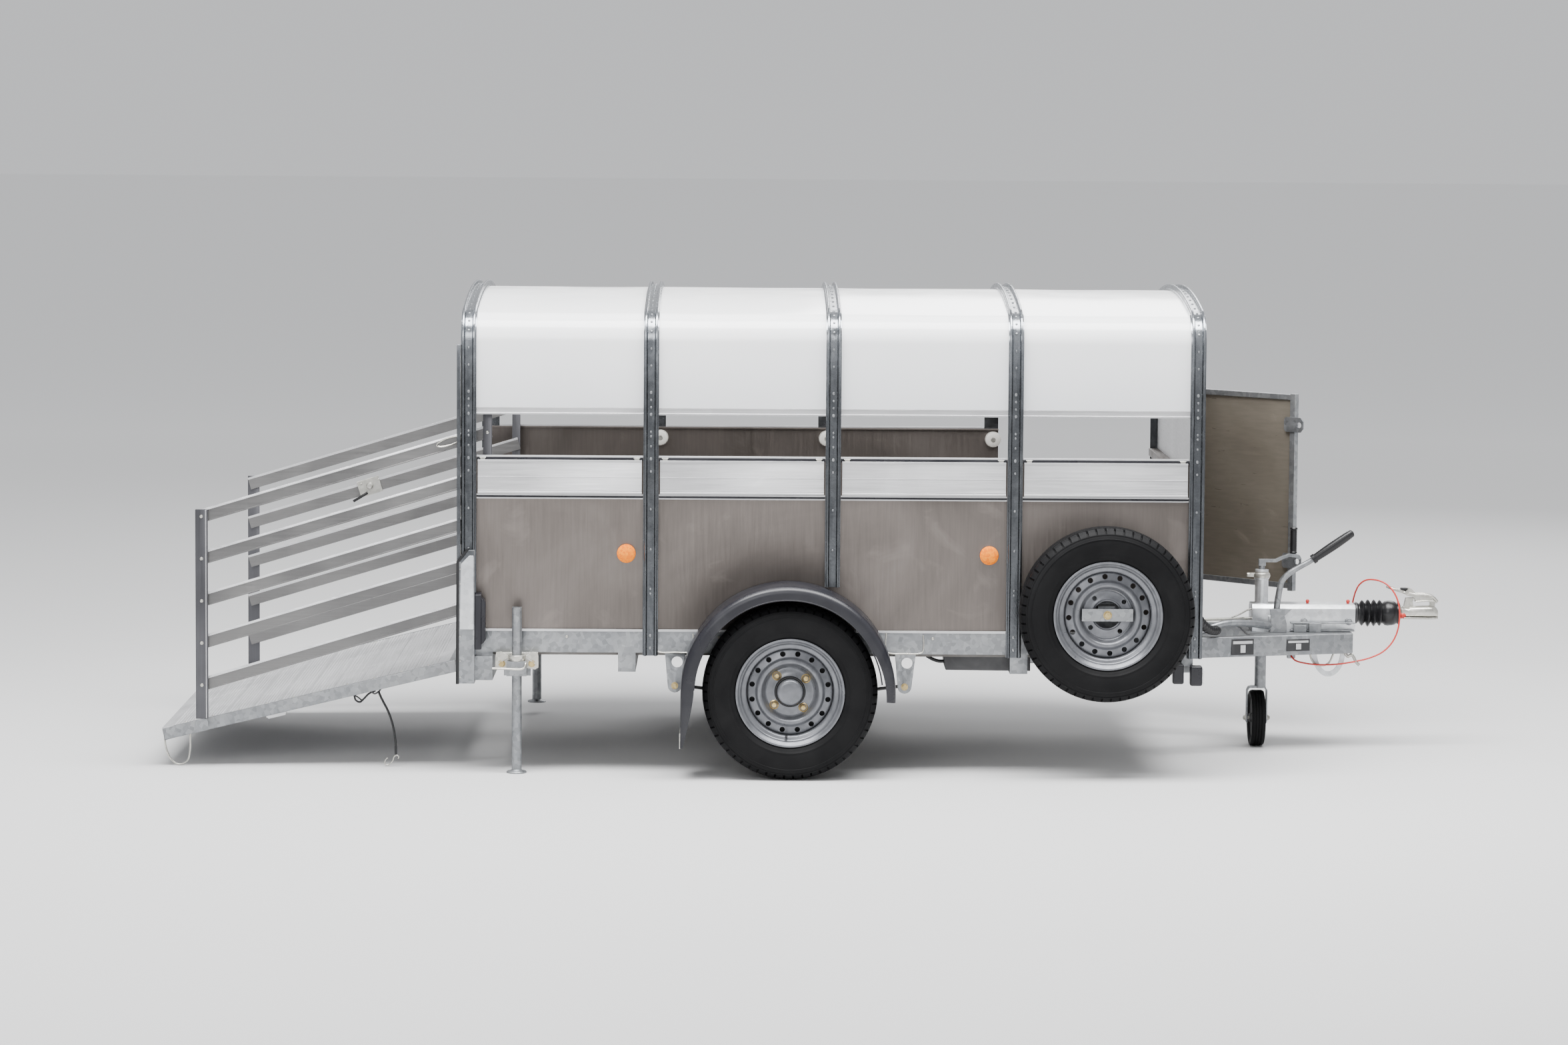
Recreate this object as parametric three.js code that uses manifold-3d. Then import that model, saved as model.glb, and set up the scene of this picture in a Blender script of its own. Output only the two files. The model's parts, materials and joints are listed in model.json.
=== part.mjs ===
// Single-axle livestock trailer, ramp down and side door open.
// Millimetres. +X is the direction of travel, +Y the trailer's left side, +Z up, floor contact at Z = 0.
import * as THREE from "three";
import { mergeVertices } from "three/addons/utils/BufferGeometryUtils.js";
import Module from "manifold-3d";

const wasm = await Module();
wasm.setup();

// ---------- driving dimensions ----------
const GAP = 0.3; // clearance kept between separate pieces
const BODY_X = 54.96; // from the middle of the box body to the middle of the whole trailer
const DEG = Math.PI / 180;

const WALL_IN = 760, WALL_OUT = 766; // side panel faces, half widths
const RAIL_IN = 736, RAIL_OUT = 770; // chassis side rails, half widths
const RAIL_LOW = 412, RAIL_TOP = 492;
const FLOOR_LOW = 400, FLOOR_TOP = 425;
const FRONT_X = 1240; // front wall, and the rails' front end

const HOOP_X = [-1240, -620, 0, 620, 1240];
const HOOP_HALF = 26, HOOP_DEPTH = 21.7, HOOP_RIB = 12.5, HOOP_WEB = 8;
const HOOP_FOOT = 403, SHORT_HOOP_FOOT = 642; // the middle hoop stops above the mudguards
const HOOP_OUT = 792, CROWN_TOP = 1650, CORNER_R = 120, CROWN_R = 4157;

const BEAD_LOW = 939, BEAD_TOP = 954, PANEL_TOP = 1080;
const FLAP_LOW = 955.5, FLAP_TOP = 1071.5, FLAP_AXIS_Z = 1078.5, FLAP_Y = 771, FLAP_T = 5;
const EDGE_RAIL_LOW = 1225, EDGE_RAIL_TOP = 1250;

const CROSS_X = [-700, -20, 640]; // chassis cross members under the floor
const AXLE_X = -143, AXLE_Z = 298, WHEEL_Y = 882.5;
const EYE_REACH = 393, EYE_Z = 299, SPRING_IN = 712, SPRING_OUT = 752;
const GUARD_X = -150, GUARD_R = 364, GUARD_IN = 771, GUARD_OUT = 980, GUARD_TAIL_Z = 112;
const SPARE_X = 930, SPARE_Z = 566, SPARE_Y = 879.5;

const RAMP_X = -1290, RAMP_Z = 372, RAMP_LENGTH = 1037, RAMP_HALF = 675, RAMP_DEPTH = 40;
const RAMP_TILT = 13.6 * DEG;

const GATE_IN_X = -1179, GATE_OUT_X = -2155, GATE_TILT = 16.8 * DEG, LEFT_GATE_SHIFT = 30;
const GATE_BARS = 5, GATE_PITCH = 145, GATE_TOP_PIVOT = 866, GATE_BAR = 45;
const GATE_RISE = (GATE_IN_X - GATE_OUT_X) * Math.tan(GATE_TILT);

const DOOR_X = 1278, DOOR_Y = 806, DOOR_ANGLE = -47.5 * DEG, DOOR_REACH = 638;
const DOOR_LOW = 530, DOOR_TOP = 1240;

const STAND_X = -1074, STAND_Y = 795, STAND_R = 17, STAND_TOP = 569, LEFT_STAND_LIFT = 39;

const BAR_TOP = 417, BAR_LOW = 345; // drawbar rails
const NOSE_X = 1871, NOSE_Y = 80, BAR_SLOPE = 0.2988;
const HOUSING_X0 = 1515, HOUSING_X1 = 1883, HOUSING_TOP = 514, SHAFT_Z = 480, SHAFT_R = 22;
const JOCKEY_X = 1553, JOCKEY_WHEEL_X = 1541, JOCKEY_WHEEL_R = 100, TUBE_R = 24, STEM_R = 20.2;
const COUPLING_X = 2150, COUPLING_MOUTH_Z = 464, BALL_R = 25.5; // socket for a 50 mm tow ball
const LEVER_X = 1598, LEVER_Z = 442, LEVER_Y = -78;

// ---------- materials ----------
const material = (color, roughness, metalness, extra = {}) =>
  new THREE.MeshStandardMaterial({ color, roughness, metalness, ...extra });
const galvanised = material(0xa9adb0, 0.5, 0.85);
const hoopSteel = material(0x8d9296, 0.48, 0.85);
const millAluminium = material(0x7d736c, 0.42, 0.8);
const brightAluminium = material(0xc9cbcc, 0.35, 0.85);
const deckAluminium = material(0xb7b9b9, 0.45, 0.8);
const doorPanel = material(0x6e665a, 0.45, 0.7);
const roofPlastic = material(0xf1f2f2, 0.25, 0, { transparent: true, opacity: 0.93 });
const floorBoard = material(0x6f6a66, 0.6, 0.4);
const tyreRubber = material(0x2d2d2f, 0.85, 0);
const wheelSilver = material(0x8c8f94, 0.4, 0.6);
const blackPlastic = material(0x1d1e21, 0.55, 0);
const blackRubber = material(0x191a1c, 0.8, 0);
const zinc = material(0xb9b7ab, 0.4, 0.85);
const redSheath = material(0xc82828, 0.45, 0);

// ---------- geometry helpers ----------
const place = (geometry, x = 0, y = 0, z = 0) => geometry.translate(x, y, z);

function box(x0, x1, y0, y1, z0, z1) {
  return place(new THREE.BoxGeometry(x1 - x0, y1 - y0, z1 - z0), (x0 + x1) / 2, (y0 + y1) / 2, (z0 + z1) / 2);
}

// A round bar between two points.
function rod(from, to, radius, sides = 20) {
  const a = new THREE.Vector3(...from), b = new THREE.Vector3(...to);
  const bar = new THREE.CylinderGeometry(radius, radius, a.distanceTo(b), sides);
  const turn = new THREE.Quaternion().setFromUnitVectors(new THREE.Vector3(0, 1, 0), b.clone().sub(a).normalize());
  bar.applyQuaternion(turn);
  return place(bar, (a.x + b.x) / 2, (a.y + b.y) / 2, (a.z + b.z) / 2);
}

function outline(points, holes = []) {
  const shape = new THREE.Shape(points.map(([u, v]) => new THREE.Vector2(u, v)));
  for (const hole of holes) shape.holes.push(new THREE.Path(hole.map(([u, v]) => new THREE.Vector2(u, v))));
  return shape;
}

function circle(u, v, radius, sides = 24) {
  return Array.from({ length: sides }, (_, i) => {
    const angle = (2 * Math.PI * i) / sides;
    return [u + radius * Math.cos(angle), v + radius * Math.sin(angle)];
  });
}

// An outline in X and Z, pulled from Y = y0 to y1.
function plateXZ(points, y0, y1, holes = []) {
  const slab = new THREE.ExtrudeGeometry(outline(points, holes), { depth: y1 - y0, bevelEnabled: false });
  return place(slab.rotateX(Math.PI / 2), 0, y1, 0);
}

// An outline in Y and Z, pulled from X = x0 to x1.
function plateYZ(points, x0, x1) {
  const slab = new THREE.ExtrudeGeometry(outline(points), { depth: x1 - x0, bevelEnabled: false });
  return place(slab.rotateY(Math.PI / 2).rotateX(Math.PI / 2), x0, 0, 0);
}

// An outline in X and Y, pulled from Z = z0 to z1.
function plateXY(points, z0, z1, holes = []) {
  const slab = new THREE.ExtrudeGeometry(outline(points, holes), { depth: z1 - z0, bevelEnabled: false });
  return place(slab, 0, 0, z0);
}

// A ring or disc about the Y axis: the profile is [radius, y] pairs, closed or ending on the axis.
function lathe(profile, sides) {
  return new THREE.LatheGeometry(profile.map(([r, y]) => new THREE.Vector2(r, y)), sides);
}

// A tube of constant section along a smooth curve through points.
function tube(points, radius, sides, steps) {
  const path = new THREE.CatmullRomCurve3(points.map((p) => new THREE.Vector3(...p)), false, "centripetal");
  const section = new THREE.Shape(circle(0, 0, radius, sides).map(([u, v]) => new THREE.Vector2(u, v)));
  return new THREE.ExtrudeGeometry(section, { steps, extrudePath: path, bevelEnabled: false });
}

// A ring of section points carried through stations: at(station, u, v) gives the vertex.
function loft(section, stations, at) {
  const points = stations.flatMap((station) => section.map(([u, v]) => at(station, u, v)));
  const n = section.length, index = [];
  for (let s = 0; s + 1 < stations.length; s++)
    for (let i = 0; i < n; i++) {
      const j = (i + 1) % n, a = s * n + i, b = s * n + j;
      index.push(a, b, b + n, a, b + n, a + n);
    }
  const caps = THREE.ShapeUtils.triangulateShape(section.map(([u, v]) => new THREE.Vector2(u, v)), []);
  const last = (stations.length - 1) * n;
  for (const [a, b, c] of caps) index.push(c, b, a, last + a, last + b, last + c);
  const geometry = new THREE.BufferGeometry();
  geometry.setAttribute("position", new THREE.Float32BufferAttribute(points.flat(), 3));
  return geometry.setIndex(index);
}

// ---------- boolean helpers ----------
function solid(geometry) {
  const bare = geometry.clone();
  bare.deleteAttribute("normal");
  bare.deleteAttribute("uv");
  const merged = mergeVertices(bare, 1e-4);
  const triVerts = new Uint32Array(merged.index.array);
  const build = () => new wasm.Manifold(new wasm.Mesh({
    numProp: 3, vertProperties: merged.attributes.position.array, triVerts,
  }));
  const made = build();
  if (made.volume() >= 0) return made;
  for (let i = 0; i < triVerts.length; i += 3) [triVerts[i], triVerts[i + 1]] = [triVerts[i + 1], triVerts[i]];
  return build();
}

function surface(made) {
  const { vertProperties, triVerts, numProp } = made.getMesh();
  const geometry = new THREE.BufferGeometry();
  const positions = new Float32Array((vertProperties.length / numProp) * 3);
  for (let i = 0; i * numProp < vertProperties.length; i++)
    for (let k = 0; k < 3; k++) positions[i * 3 + k] = vertProperties[i * numProp + k];
  geometry.setAttribute("position", new THREE.BufferAttribute(positions, 3));
  geometry.setIndex(new THREE.BufferAttribute(new Uint32Array(triVerts), 1));
  return geometry;
}

function join(pieces, cuts = []) {
  let made = pieces.map(solid).reduce((a, b) => a.add(b));
  for (const cut of cuts) made = made.subtract(solid(cut));
  return surface(made);
}

// The same piece on both sides of the trailer.
const mirrored = (geometry) => geometry.clone().scale(1, -1, 1);
const bothSides = (make) => [1, -1].map((side) => (side > 0 ? make() : mirrored(make())));

// ---------- scene ----------
const trailer = new THREE.Group();
trailer.position.x = BODY_X;

function addTo(group, name, geometry, finish) {
  geometry.computeVertexNormals();
  const mesh = new THREE.Mesh(geometry, finish);
  mesh.name = name;
  group.add(mesh);
  return mesh;
}
const add = (name, geometry, finish) => addTo(trailer, name, geometry, finish);

// Right-hand pieces are modelled as left-hand ones and mirrored.
const rightSide = new THREE.Group();
rightSide.scale.y = -1;
trailer.add(rightSide);
const leftSide = new THREE.Group();
trailer.add(leftSide);
const SIDES = [["right", rightSide], ["left", leftSide]];

// ---------- hoops and roof ----------
const crownZ = CROWN_TOP - CROWN_R;
const cornerY = HOOP_OUT - CORNER_R;
const cornerZ = crownZ + Math.sqrt((CROWN_R - CORNER_R) ** 2 - cornerY ** 2);
const shoulder = Math.atan2(cornerZ - crownZ, cornerY); // where the corner meets the crown

// The line over the body, inset from the hoops' outer face: right foot, corner, crown, corner, left foot.
function overBody(inset, foot) {
  const stations = [];
  const station = (y, z, angle) => stations.push({ y, z, ny: Math.cos(angle), nz: Math.sin(angle) });
  const arc = (cy, cz, radius, from, to, steps) => {
    for (let i = 0; i <= steps; i++) {
      const angle = from + ((to - from) * i) / steps;
      station(cy + radius * Math.cos(angle), cz + radius * Math.sin(angle), angle);
    }
  };
  station(-(HOOP_OUT - inset), foot, Math.PI);
  arc(-cornerY, cornerZ, CORNER_R - inset, Math.PI, Math.PI - shoulder, 6);
  const crownSteps = 8;
  for (let i = 1; i < crownSteps; i++) {
    const angle = Math.PI - shoulder + ((2 * shoulder - Math.PI) * i) / crownSteps;
    station((CROWN_R - inset) * Math.cos(angle), crownZ + (CROWN_R - inset) * Math.sin(angle), angle);
  }
  arc(cornerY, cornerZ, CORNER_R - inset, shoulder, 0, 6);
  station(HOOP_OUT - inset, foot, 0);
  return stations;
}
const overBodyPoint = (s, x, depth) => [x, s.y + s.ny * depth, s.z + s.nz * depth];

// Two proud ribs with a recessed web between them.
function hoopSection(x) {
  const web = HOOP_HALF - HOOP_RIB;
  return [
    [x - HOOP_HALF, 0], [x + HOOP_HALF, 0], [x + HOOP_HALF, HOOP_DEPTH], [x + web, HOOP_DEPTH],
    [x + web, HOOP_WEB], [x - web, HOOP_WEB], [x - web, HOOP_DEPTH], [x - HOOP_HALF, HOOP_DEPTH],
  ];
}

HOOP_X.forEach((x, i) => {
  const foot = x === 0 ? SHORT_HOOP_FOOT : HOOP_FOOT;
  const hoop = loft(hoopSection(x), overBody(HOOP_DEPTH, foot), overBodyPoint);
  add(`hoop_${i + 1}`, surface(solid(hoop)), hoopSteel);
});

const ROOF_T = 3.5, ROOF_END = 1264;
const roofSection = [[-ROOF_END, -ROOF_T], [ROOF_END, -ROOF_T], [ROOF_END, 0], [-ROOF_END, 0]];
const roofLine = overBody(HOOP_DEPTH + GAP, EDGE_RAIL_TOP + GAP);
add("roof_sheet", surface(solid(loft(roofSection, roofLine, overBodyPoint))), roofPlastic);

add("roof_edge_rail", join([
  ...bothSides(() => box(-ROOF_END, ROOF_END, 758, RAIL_OUT - GAP, EDGE_RAIL_LOW, EDGE_RAIL_TOP)),
  box(FRONT_X + 10, ROOF_END, -759, 759, EDGE_RAIL_LOW, EDGE_RAIL_TOP),
]), brightAluminium);

// ---------- body panels ----------
// A side panel with a bead under the vent flaps and a lip along its top edge.
function sideWall(x0, x1) {
  return join([
    box(x0, x1, WALL_IN, WALL_OUT, RAIL_TOP + GAP, PANEL_TOP),
    box(x0, x1, WALL_IN + 1, RAIL_OUT - GAP, BEAD_LOW, BEAD_TOP),
    box(x0, x1, WALL_IN - 12, RAIL_OUT - GAP, PANEL_TOP - 6, PANEL_TOP),
  ]);
}
const DOORWAY_X = HOOP_X[3] + HOOP_HALF; // the left front bay is the side doorway
addTo(rightSide, "right_wall", sideWall(-ROOF_END, FRONT_X - GAP), millAluminium);
addTo(leftSide, "left_wall", sideWall(-ROOF_END, DOORWAY_X), millAluminium);

// Two sheets joined under an outer rail, with a stiffening rail across the inner face.
function frontWall() {
  const inside = WALL_IN - 14, jointLow = 1047, jointTop = 1086, innerLow = 985, innerTop = 1012;
  const gable = overBody(HOOP_DEPTH + 8, EDGE_RAIL_TOP).map((s) => [s.y, s.z]);
  const lower = [[inside, EDGE_RAIL_TOP], [inside, FLOOR_TOP + 5], [-inside, FLOOR_TOP + 5], [-inside, EDGE_RAIL_TOP]];
  return join([
    plateYZ([...gable, ...lower], FRONT_X, FRONT_X + 6),
    box(FRONT_X + 5, FRONT_X + 9.5, -inside, inside, jointLow, jointTop),
    box(FRONT_X - 33, FRONT_X + 1, -inside, inside, innerLow, innerTop),
  ]);
}
add("front_wall", frontWall(), millAluminium);

add("floor_deck", surface(solid(
  box(HOOP_X[0], FRONT_X - 2, -(RAIL_IN - GAP), RAIL_IN - GAP, FLOOR_LOW, FLOOR_TOP),
)), floorBoard);

// ---------- vent flaps: each hangs from its hinge line and swings out and up ----------
function flap(bay) {
  const x0 = HOOP_X[bay] + HOOP_HALF + 5, x1 = HOOP_X[bay + 1] - HOOP_HALF - 5;
  return join([
    box(x0, x1, FLAP_Y, FLAP_Y + FLAP_T, FLAP_LOW, FLAP_TOP),
    box(x0, x1, FLAP_Y + 1, FLAP_Y + FLAP_T + 3, FLAP_LOW, FLAP_LOW + 8),
  ]);
}
for (let bay = 0; bay < 4; bay++) addTo(rightSide, `right_flap_${bay + 1}`, flap(bay), brightAluminium);
for (let bay = 0; bay < 3; bay++) addTo(leftSide, `left_flap_${bay + 1}`, flap(bay), brightAluminium);

// ---------- chassis ----------
// A hanger plate with a lightening hole and the spring's pin.
function springHanger(x) {
  const low = Array.from({ length: 9 }, (_, i) => {
    const angle = (-Math.PI * i) / 8;
    return [x + 24 * Math.cos(angle), EYE_Z + 24 * Math.sin(angle)];
  });
  return [
    plateXZ([[x + 38, RAIL_LOW + 1], ...low, [x - 34, RAIL_LOW + 1]], 756, 764, [circle(x + 8, 380, 19)]),
    rod([x, 708, EYE_Z], [x, 768, EYE_Z], 8, 16),
  ];
}

function chassisSide() {
  const low = RAIL_LOW + 1, corner = -1271, cornerFront = -1218;
  const guard = [
    [corner, 308], [cornerFront, 308], [cornerFront, 764], [corner + 34, 764], [corner, 722],
  ];
  return join([
    box(cornerFront, FRONT_X - 4, RAIL_IN, RAIL_OUT, RAIL_LOW, RAIL_TOP),
    ...springHanger(AXLE_X - EYE_REACH),
    ...springHanger(AXLE_X + EYE_REACH),
    box(corner, cornerFront, 736, 815, 308, HOOP_FOOT - GAP), // rear corner foot
    plateXZ(guard, HOOP_OUT + 0.5, 815), // lamp guard up the rear corner
    box(cornerFront - 1, -1157, 0, 790, 317, FLOOR_LOW - GAP), // half of the rear cross beam
    box(cornerFront - 1, -1157, RAIL_IN + 2, RAIL_OUT - 4, FLOOR_LOW - 1, low),
    ...CROSS_X.flatMap((x) => [
      box(x - 30, x + 30, 0, 760, 345, FLOOR_LOW - GAP),
      box(x - 30, x + 30, RAIL_IN + 2, 760, FLOOR_LOW - 1, low),
    ]),
    box(STAND_X - 46, STAND_X + 46, 757, 763, 330, low), // stand bracket plate
    box(STAND_X - 34, STAND_X + 34, 760, STAND_Y + 27, 335, 385),
  ], [rod([STAND_X, STAND_Y, 300], [STAND_X, STAND_Y, 420], STAND_R + 0.5, 24)]);
}
add("chassis_frame", join(bothSides(chassisSide)), galvanised);

// ---------- axle and springs ----------
add("axle_beam", join([
  box(AXLE_X - 25, AXLE_X + 25, -790, 790, AXLE_Z - 25, AXLE_Z + 25),
  rod([AXLE_X, -812, AXLE_Z], [AXLE_X, 812, AXLE_Z], 20),
]), galvanised);

// A four-leaf spring: a shallow main leaf with rolled eyes and shorter leaves packed under it.
function leafSpring() {
  const LEAF = 7, SAG = 30.6;
  const top = (u) => EYE_Z + 4 - SAG * (1 - u * u);
  const reach = [0.96, 0.72, 0.5, 0.28];
  const upper = Array.from({ length: 17 }, (_, i) => -0.96 + (1.92 * i) / 16);
  const lower = reach.flatMap((r, leaf) => [[r, leaf + 1], [leaf < 3 ? reach[leaf + 1] : 0, leaf + 1]]);
  const edge = (side) => lower.map(([u, n]) => [AXLE_X + side * u * EYE_REACH, top(u) - n * LEAF]);
  const body = plateXZ(
    [...upper.map((u) => [AXLE_X + u * EYE_REACH, top(u)]), ...edge(1), ...edge(-1).reverse().slice(1)],
    SPRING_IN, SPRING_OUT,
  );
  const ends = [-1, 1].map((side) => AXLE_X + side * EYE_REACH);
  return join(
    [body, ...ends.map((x) => rod([x, SPRING_IN, EYE_Z], [x, SPRING_OUT, EYE_Z], 18))],
    ends.map((x) => rod([x, SPRING_IN - 5, EYE_Z], [x, SPRING_OUT + 5, EYE_Z], 8 + GAP, 16)),
  );
}

// ---------- wheels ----------
const tyreHalf = [[167, 62], [184, 62], [200, 74], [235, 82.5], [268, 80], [288, 64], [298, 40]];
const tyreProfile = [...tyreHalf, ...tyreHalf.map(([r, y]) => [r, -y]).reverse(), tyreHalf[0]];
// Rim, pressed disc, brake drum behind it and centre cap in front.
const rimProfile = [
  [0, -70], [100, -70], [100, -2], [140, 4], [158, -4], [158, -60], [176, -67], [183, -67], [183, -62.3],
  [166.7, -62.3], [166.7, 62.3], [183, 62.3], [183, 67], [176, 67], [160, 52], [157, 26], [120, 14],
  [78, 28], [72, 34], [47, 34], [46, 50], [38, 56], [0, 57],
];
const spareProfile = [
  [32, 20], [32, 28], [78, 28], [120, 14], [157, 26], [160, 52], [176, 67], [183, 67], [200, 74], [235, 82.5],
  [268, 80], [288, 64], [298, 40], [298, -40], [288, -64], [268, -80], [235, -82.5], [200, -74], [183, -67],
  [176, -67], [158, -60], [158, 6], [120, 6], [78, 20], [32, 20],
];
for (const [side, group] of SIDES) {
  const at = (geometry) => place(geometry, AXLE_X, WHEEL_Y, AXLE_Z);
  addTo(group, `${side}_tyre`, surface(solid(at(lathe(tyreProfile, 24)))), tyreRubber);
  addTo(group, `${side}_rim`, surface(solid(at(lathe(rimProfile, 24)))), wheelSilver);
  addTo(group, `${side}_leaf_spring`, leafSpring(), blackPlastic);
}

// ---------- mudguards: a half-round sheet with a turned-down outer lip and a hanging tail ----------
function mudguard() {
  const stations = [];
  const steps = 16, start = -4.5 * DEG;
  for (let i = 0; i <= steps; i++) {
    const angle = start + ((Math.PI - start) * i) / steps;
    stations.push({
      x: GUARD_X + GUARD_R * Math.cos(angle), z: AXLE_Z + GUARD_R * Math.sin(angle),
      nx: Math.cos(angle), nz: Math.sin(angle), lip: i === 0 ? 30 : 45,
    });
  }
  const tail = [[0.4, 45], [0.8, 25], [1, 8]];
  for (const [t, lip] of tail)
    stations.push({
      x: GUARD_X - GUARD_R, z: AXLE_Z + (GUARD_TAIL_Z - AXLE_Z) * t, nx: -1, nz: 0, lip,
    });
  const LIP = 45, SHEET = 4;
  const section = [[GUARD_IN, 0], [GUARD_OUT, 0], [GUARD_OUT, LIP], [GUARD_OUT - SHEET, LIP],
    [GUARD_OUT - SHEET, SHEET], [GUARD_IN, SHEET]];
  return surface(solid(loft(section, stations, (s, y, depth) => {
    const d = depth === LIP ? s.lip : depth;
    return [s.x - s.nx * d, y, s.z - s.nz * d];
  })));
}
for (const [side, group] of SIDES) addTo(group, `${side}_mudguard`, mudguard(), blackPlastic);

// ---------- spare wheel and its carrier ----------
addTo(rightSide, "spare_wheel", surface(solid(place(lathe(spareProfile, 24), SPARE_X, SPARE_Y, SPARE_Z))), tyreRubber);
addTo(rightSide, "spare_carrier", join([
  box(SPARE_X - 70, SPARE_X + 70, WALL_OUT + 1, WALL_OUT + 9, SPARE_Z - 66, SPARE_Z + 66),
  rod([SPARE_X, WALL_OUT + 5, SPARE_Z], [SPARE_X, SPARE_Y + 32, SPARE_Z], 20),
  box(SPARE_X - 87, SPARE_X + 87, SPARE_Y + 29, SPARE_Y + 35, SPARE_Z - 21.5, SPARE_Z + 21.5),
  rod([SPARE_X, SPARE_Y + 34, SPARE_Z], [SPARE_X, SPARE_Y + 47, SPARE_Z], 14, 6),
]), galvanised);

// ---------- loading ramp ----------
function ramp() {
  const deck = [
    box(-RAMP_LENGTH + 3, -3, -(RAMP_HALF - 24), RAMP_HALF - 24, -16, -2),
    ...bothSides(() => box(-RAMP_LENGTH, 0, RAMP_HALF - 25, RAMP_HALF, -RAMP_DEPTH, 0)),
    box(-RAMP_LENGTH, -RAMP_LENGTH + 25, -RAMP_HALF, RAMP_HALF, -RAMP_DEPTH, 0),
    box(-25, 0, -RAMP_HALF, RAMP_HALF, -RAMP_DEPTH, 0),
    box(-RAMP_LENGTH / 2 - 20, -RAMP_LENGTH / 2 + 20, -RAMP_HALF + 10, RAMP_HALF - 10, -RAMP_DEPTH, -10),
  ].map((piece) => place(piece.rotateY(-RAMP_TILT), RAMP_X, 0, RAMP_Z));
  const loops = bothSides(() => tube(
    [[-2291, 662, 104], [-2287, 662, 64], [-2270, 662, 22], [-2243, 662, 3.4], [-2214, 662, 16],
      [-2204, 662, 50], [-2203, 662, 122]], 3, 8, 22,
  ));
  return join([...deck, ...loops]);
}
add("ramp", ramp(), deckAluminium);

// ---------- ramp side gates: two upright posts and five pivoting bars ----------
for (const [side, group] of SIDES) {
  const gate = new THREE.Group();
  gate.position.x = side === "left" ? LEFT_GATE_SHIFT : 0;
  group.add(gate);
  const outerPost = box(GATE_OUT_X - 21, GATE_OUT_X + 21, 708, 724, 170, GATE_TOP_PIVOT + 24);
  const innerPost = box(GATE_IN_X - 15, GATE_IN_X + 15, 708, 724, 440, 1240 - 16);
  addTo(gate, `${side}_gate_outer_post`, surface(solid(outerPost)), galvanised);
  addTo(gate, `${side}_gate_inner_post`, surface(solid(innerPost)), galvanised);
  const length = (GATE_IN_X - GATE_OUT_X) / Math.cos(GATE_TILT);
  for (let k = 0; k < GATE_BARS; k++) {
    const bar = join([
      box(-length - 15, 11, 701, 705, -GATE_BAR / 2, GATE_BAR / 2),
      box(-length - 15, 11, 701, 707, GATE_BAR / 2 - 9, GATE_BAR / 2),
    ]);
    const mesh = addTo(gate, `${side}_gate_bar_${k + 1}`, bar, brightAluminium);
    mesh.rotation.y = -GATE_TILT;
    mesh.position.set(GATE_IN_X, 0, GATE_TOP_PIVOT - k * GATE_PITCH + GATE_RISE);
  }
}

// ---------- side door, standing open ahead of the body ----------
const door = add("side_door", join([
  box(14, DOOR_REACH - 2, -4, 4, DOOR_LOW + 4, DOOR_TOP - 4),
  box(12, 34, -10, 10, DOOR_LOW, DOOR_TOP),
  box(DOOR_REACH - 25, DOOR_REACH, -10, 10, DOOR_LOW - 8, DOOR_TOP + 3),
  box(12, DOOR_REACH, -9, 9, DOOR_LOW, DOOR_LOW + 22),
  box(12, DOOR_REACH, -9, 9, DOOR_TOP - 22, DOOR_TOP),
  ...[[1104, 1158], [606, 660]].map(([low, high]) =>
    plateXZ([[588, low], [668, low], [680, low + 14], [680, high - 14], [668, high], [588, high]], -13, -9,
      [circle(662, (low + high) / 2, 9, 16)])),
]), doorPanel);
door.position.set(DOOR_X, DOOR_Y, 0);
door.rotation.z = DOOR_ANGLE;

// ---------- prop stands ----------
for (const [side, group] of SIDES) {
  const stand = join([
    rod([STAND_X, STAND_Y, 3], [STAND_X, STAND_Y, STAND_TOP], STAND_R, 20),
    rod([STAND_X, STAND_Y, 0], [STAND_X, STAND_Y, 5], 34.5, 24),
  ]);
  const mesh = addTo(group, `${side}_prop_stand`, stand, galvanised);
  mesh.position.z = side === "left" ? LEFT_STAND_LIFT : 0;
}

// ---------- drawbar ----------
const barY = (x) => NOSE_Y + (NOSE_X - x) * BAR_SLOPE;

function drawbar() {
  const rail = (x0, x1, top) => plateXY(
    [[x0, barY(x0) - 20], [x1, barY(x1) - 20], [x1, barY(x1) + 20], [x0, barY(x0) + 20]], BAR_LOW, top);
  const nose = [[1490, -barY(1490)], [NOSE_X, -NOSE_Y], [NOSE_X, NOSE_Y], [1490, barY(1490)]];
  return join([
    ...bothSides(() => rail(CROSS_X[2] + 30 + GAP, 1250, 396)),
    ...bothSides(() => rail(1249, NOSE_X, BAR_TOP)),
    box(1180, 1236, -700, 700, BAR_LOW, 396),
    plateXY(nose, BAR_TOP - 10, BAR_TOP, [circle(JOCKEY_X, 0, TUBE_R + 1)]),
    box(NOSE_X - 8, NOSE_X, -NOSE_Y, NOSE_Y, BAR_LOW, BAR_TOP),
    box(1640, 1670, -70, -54, 322, BAR_TOP - 5), // lug that the breakaway cable leaves
  ]);
}
add("drawbar_frame", drawbar(), galvanised);

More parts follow.
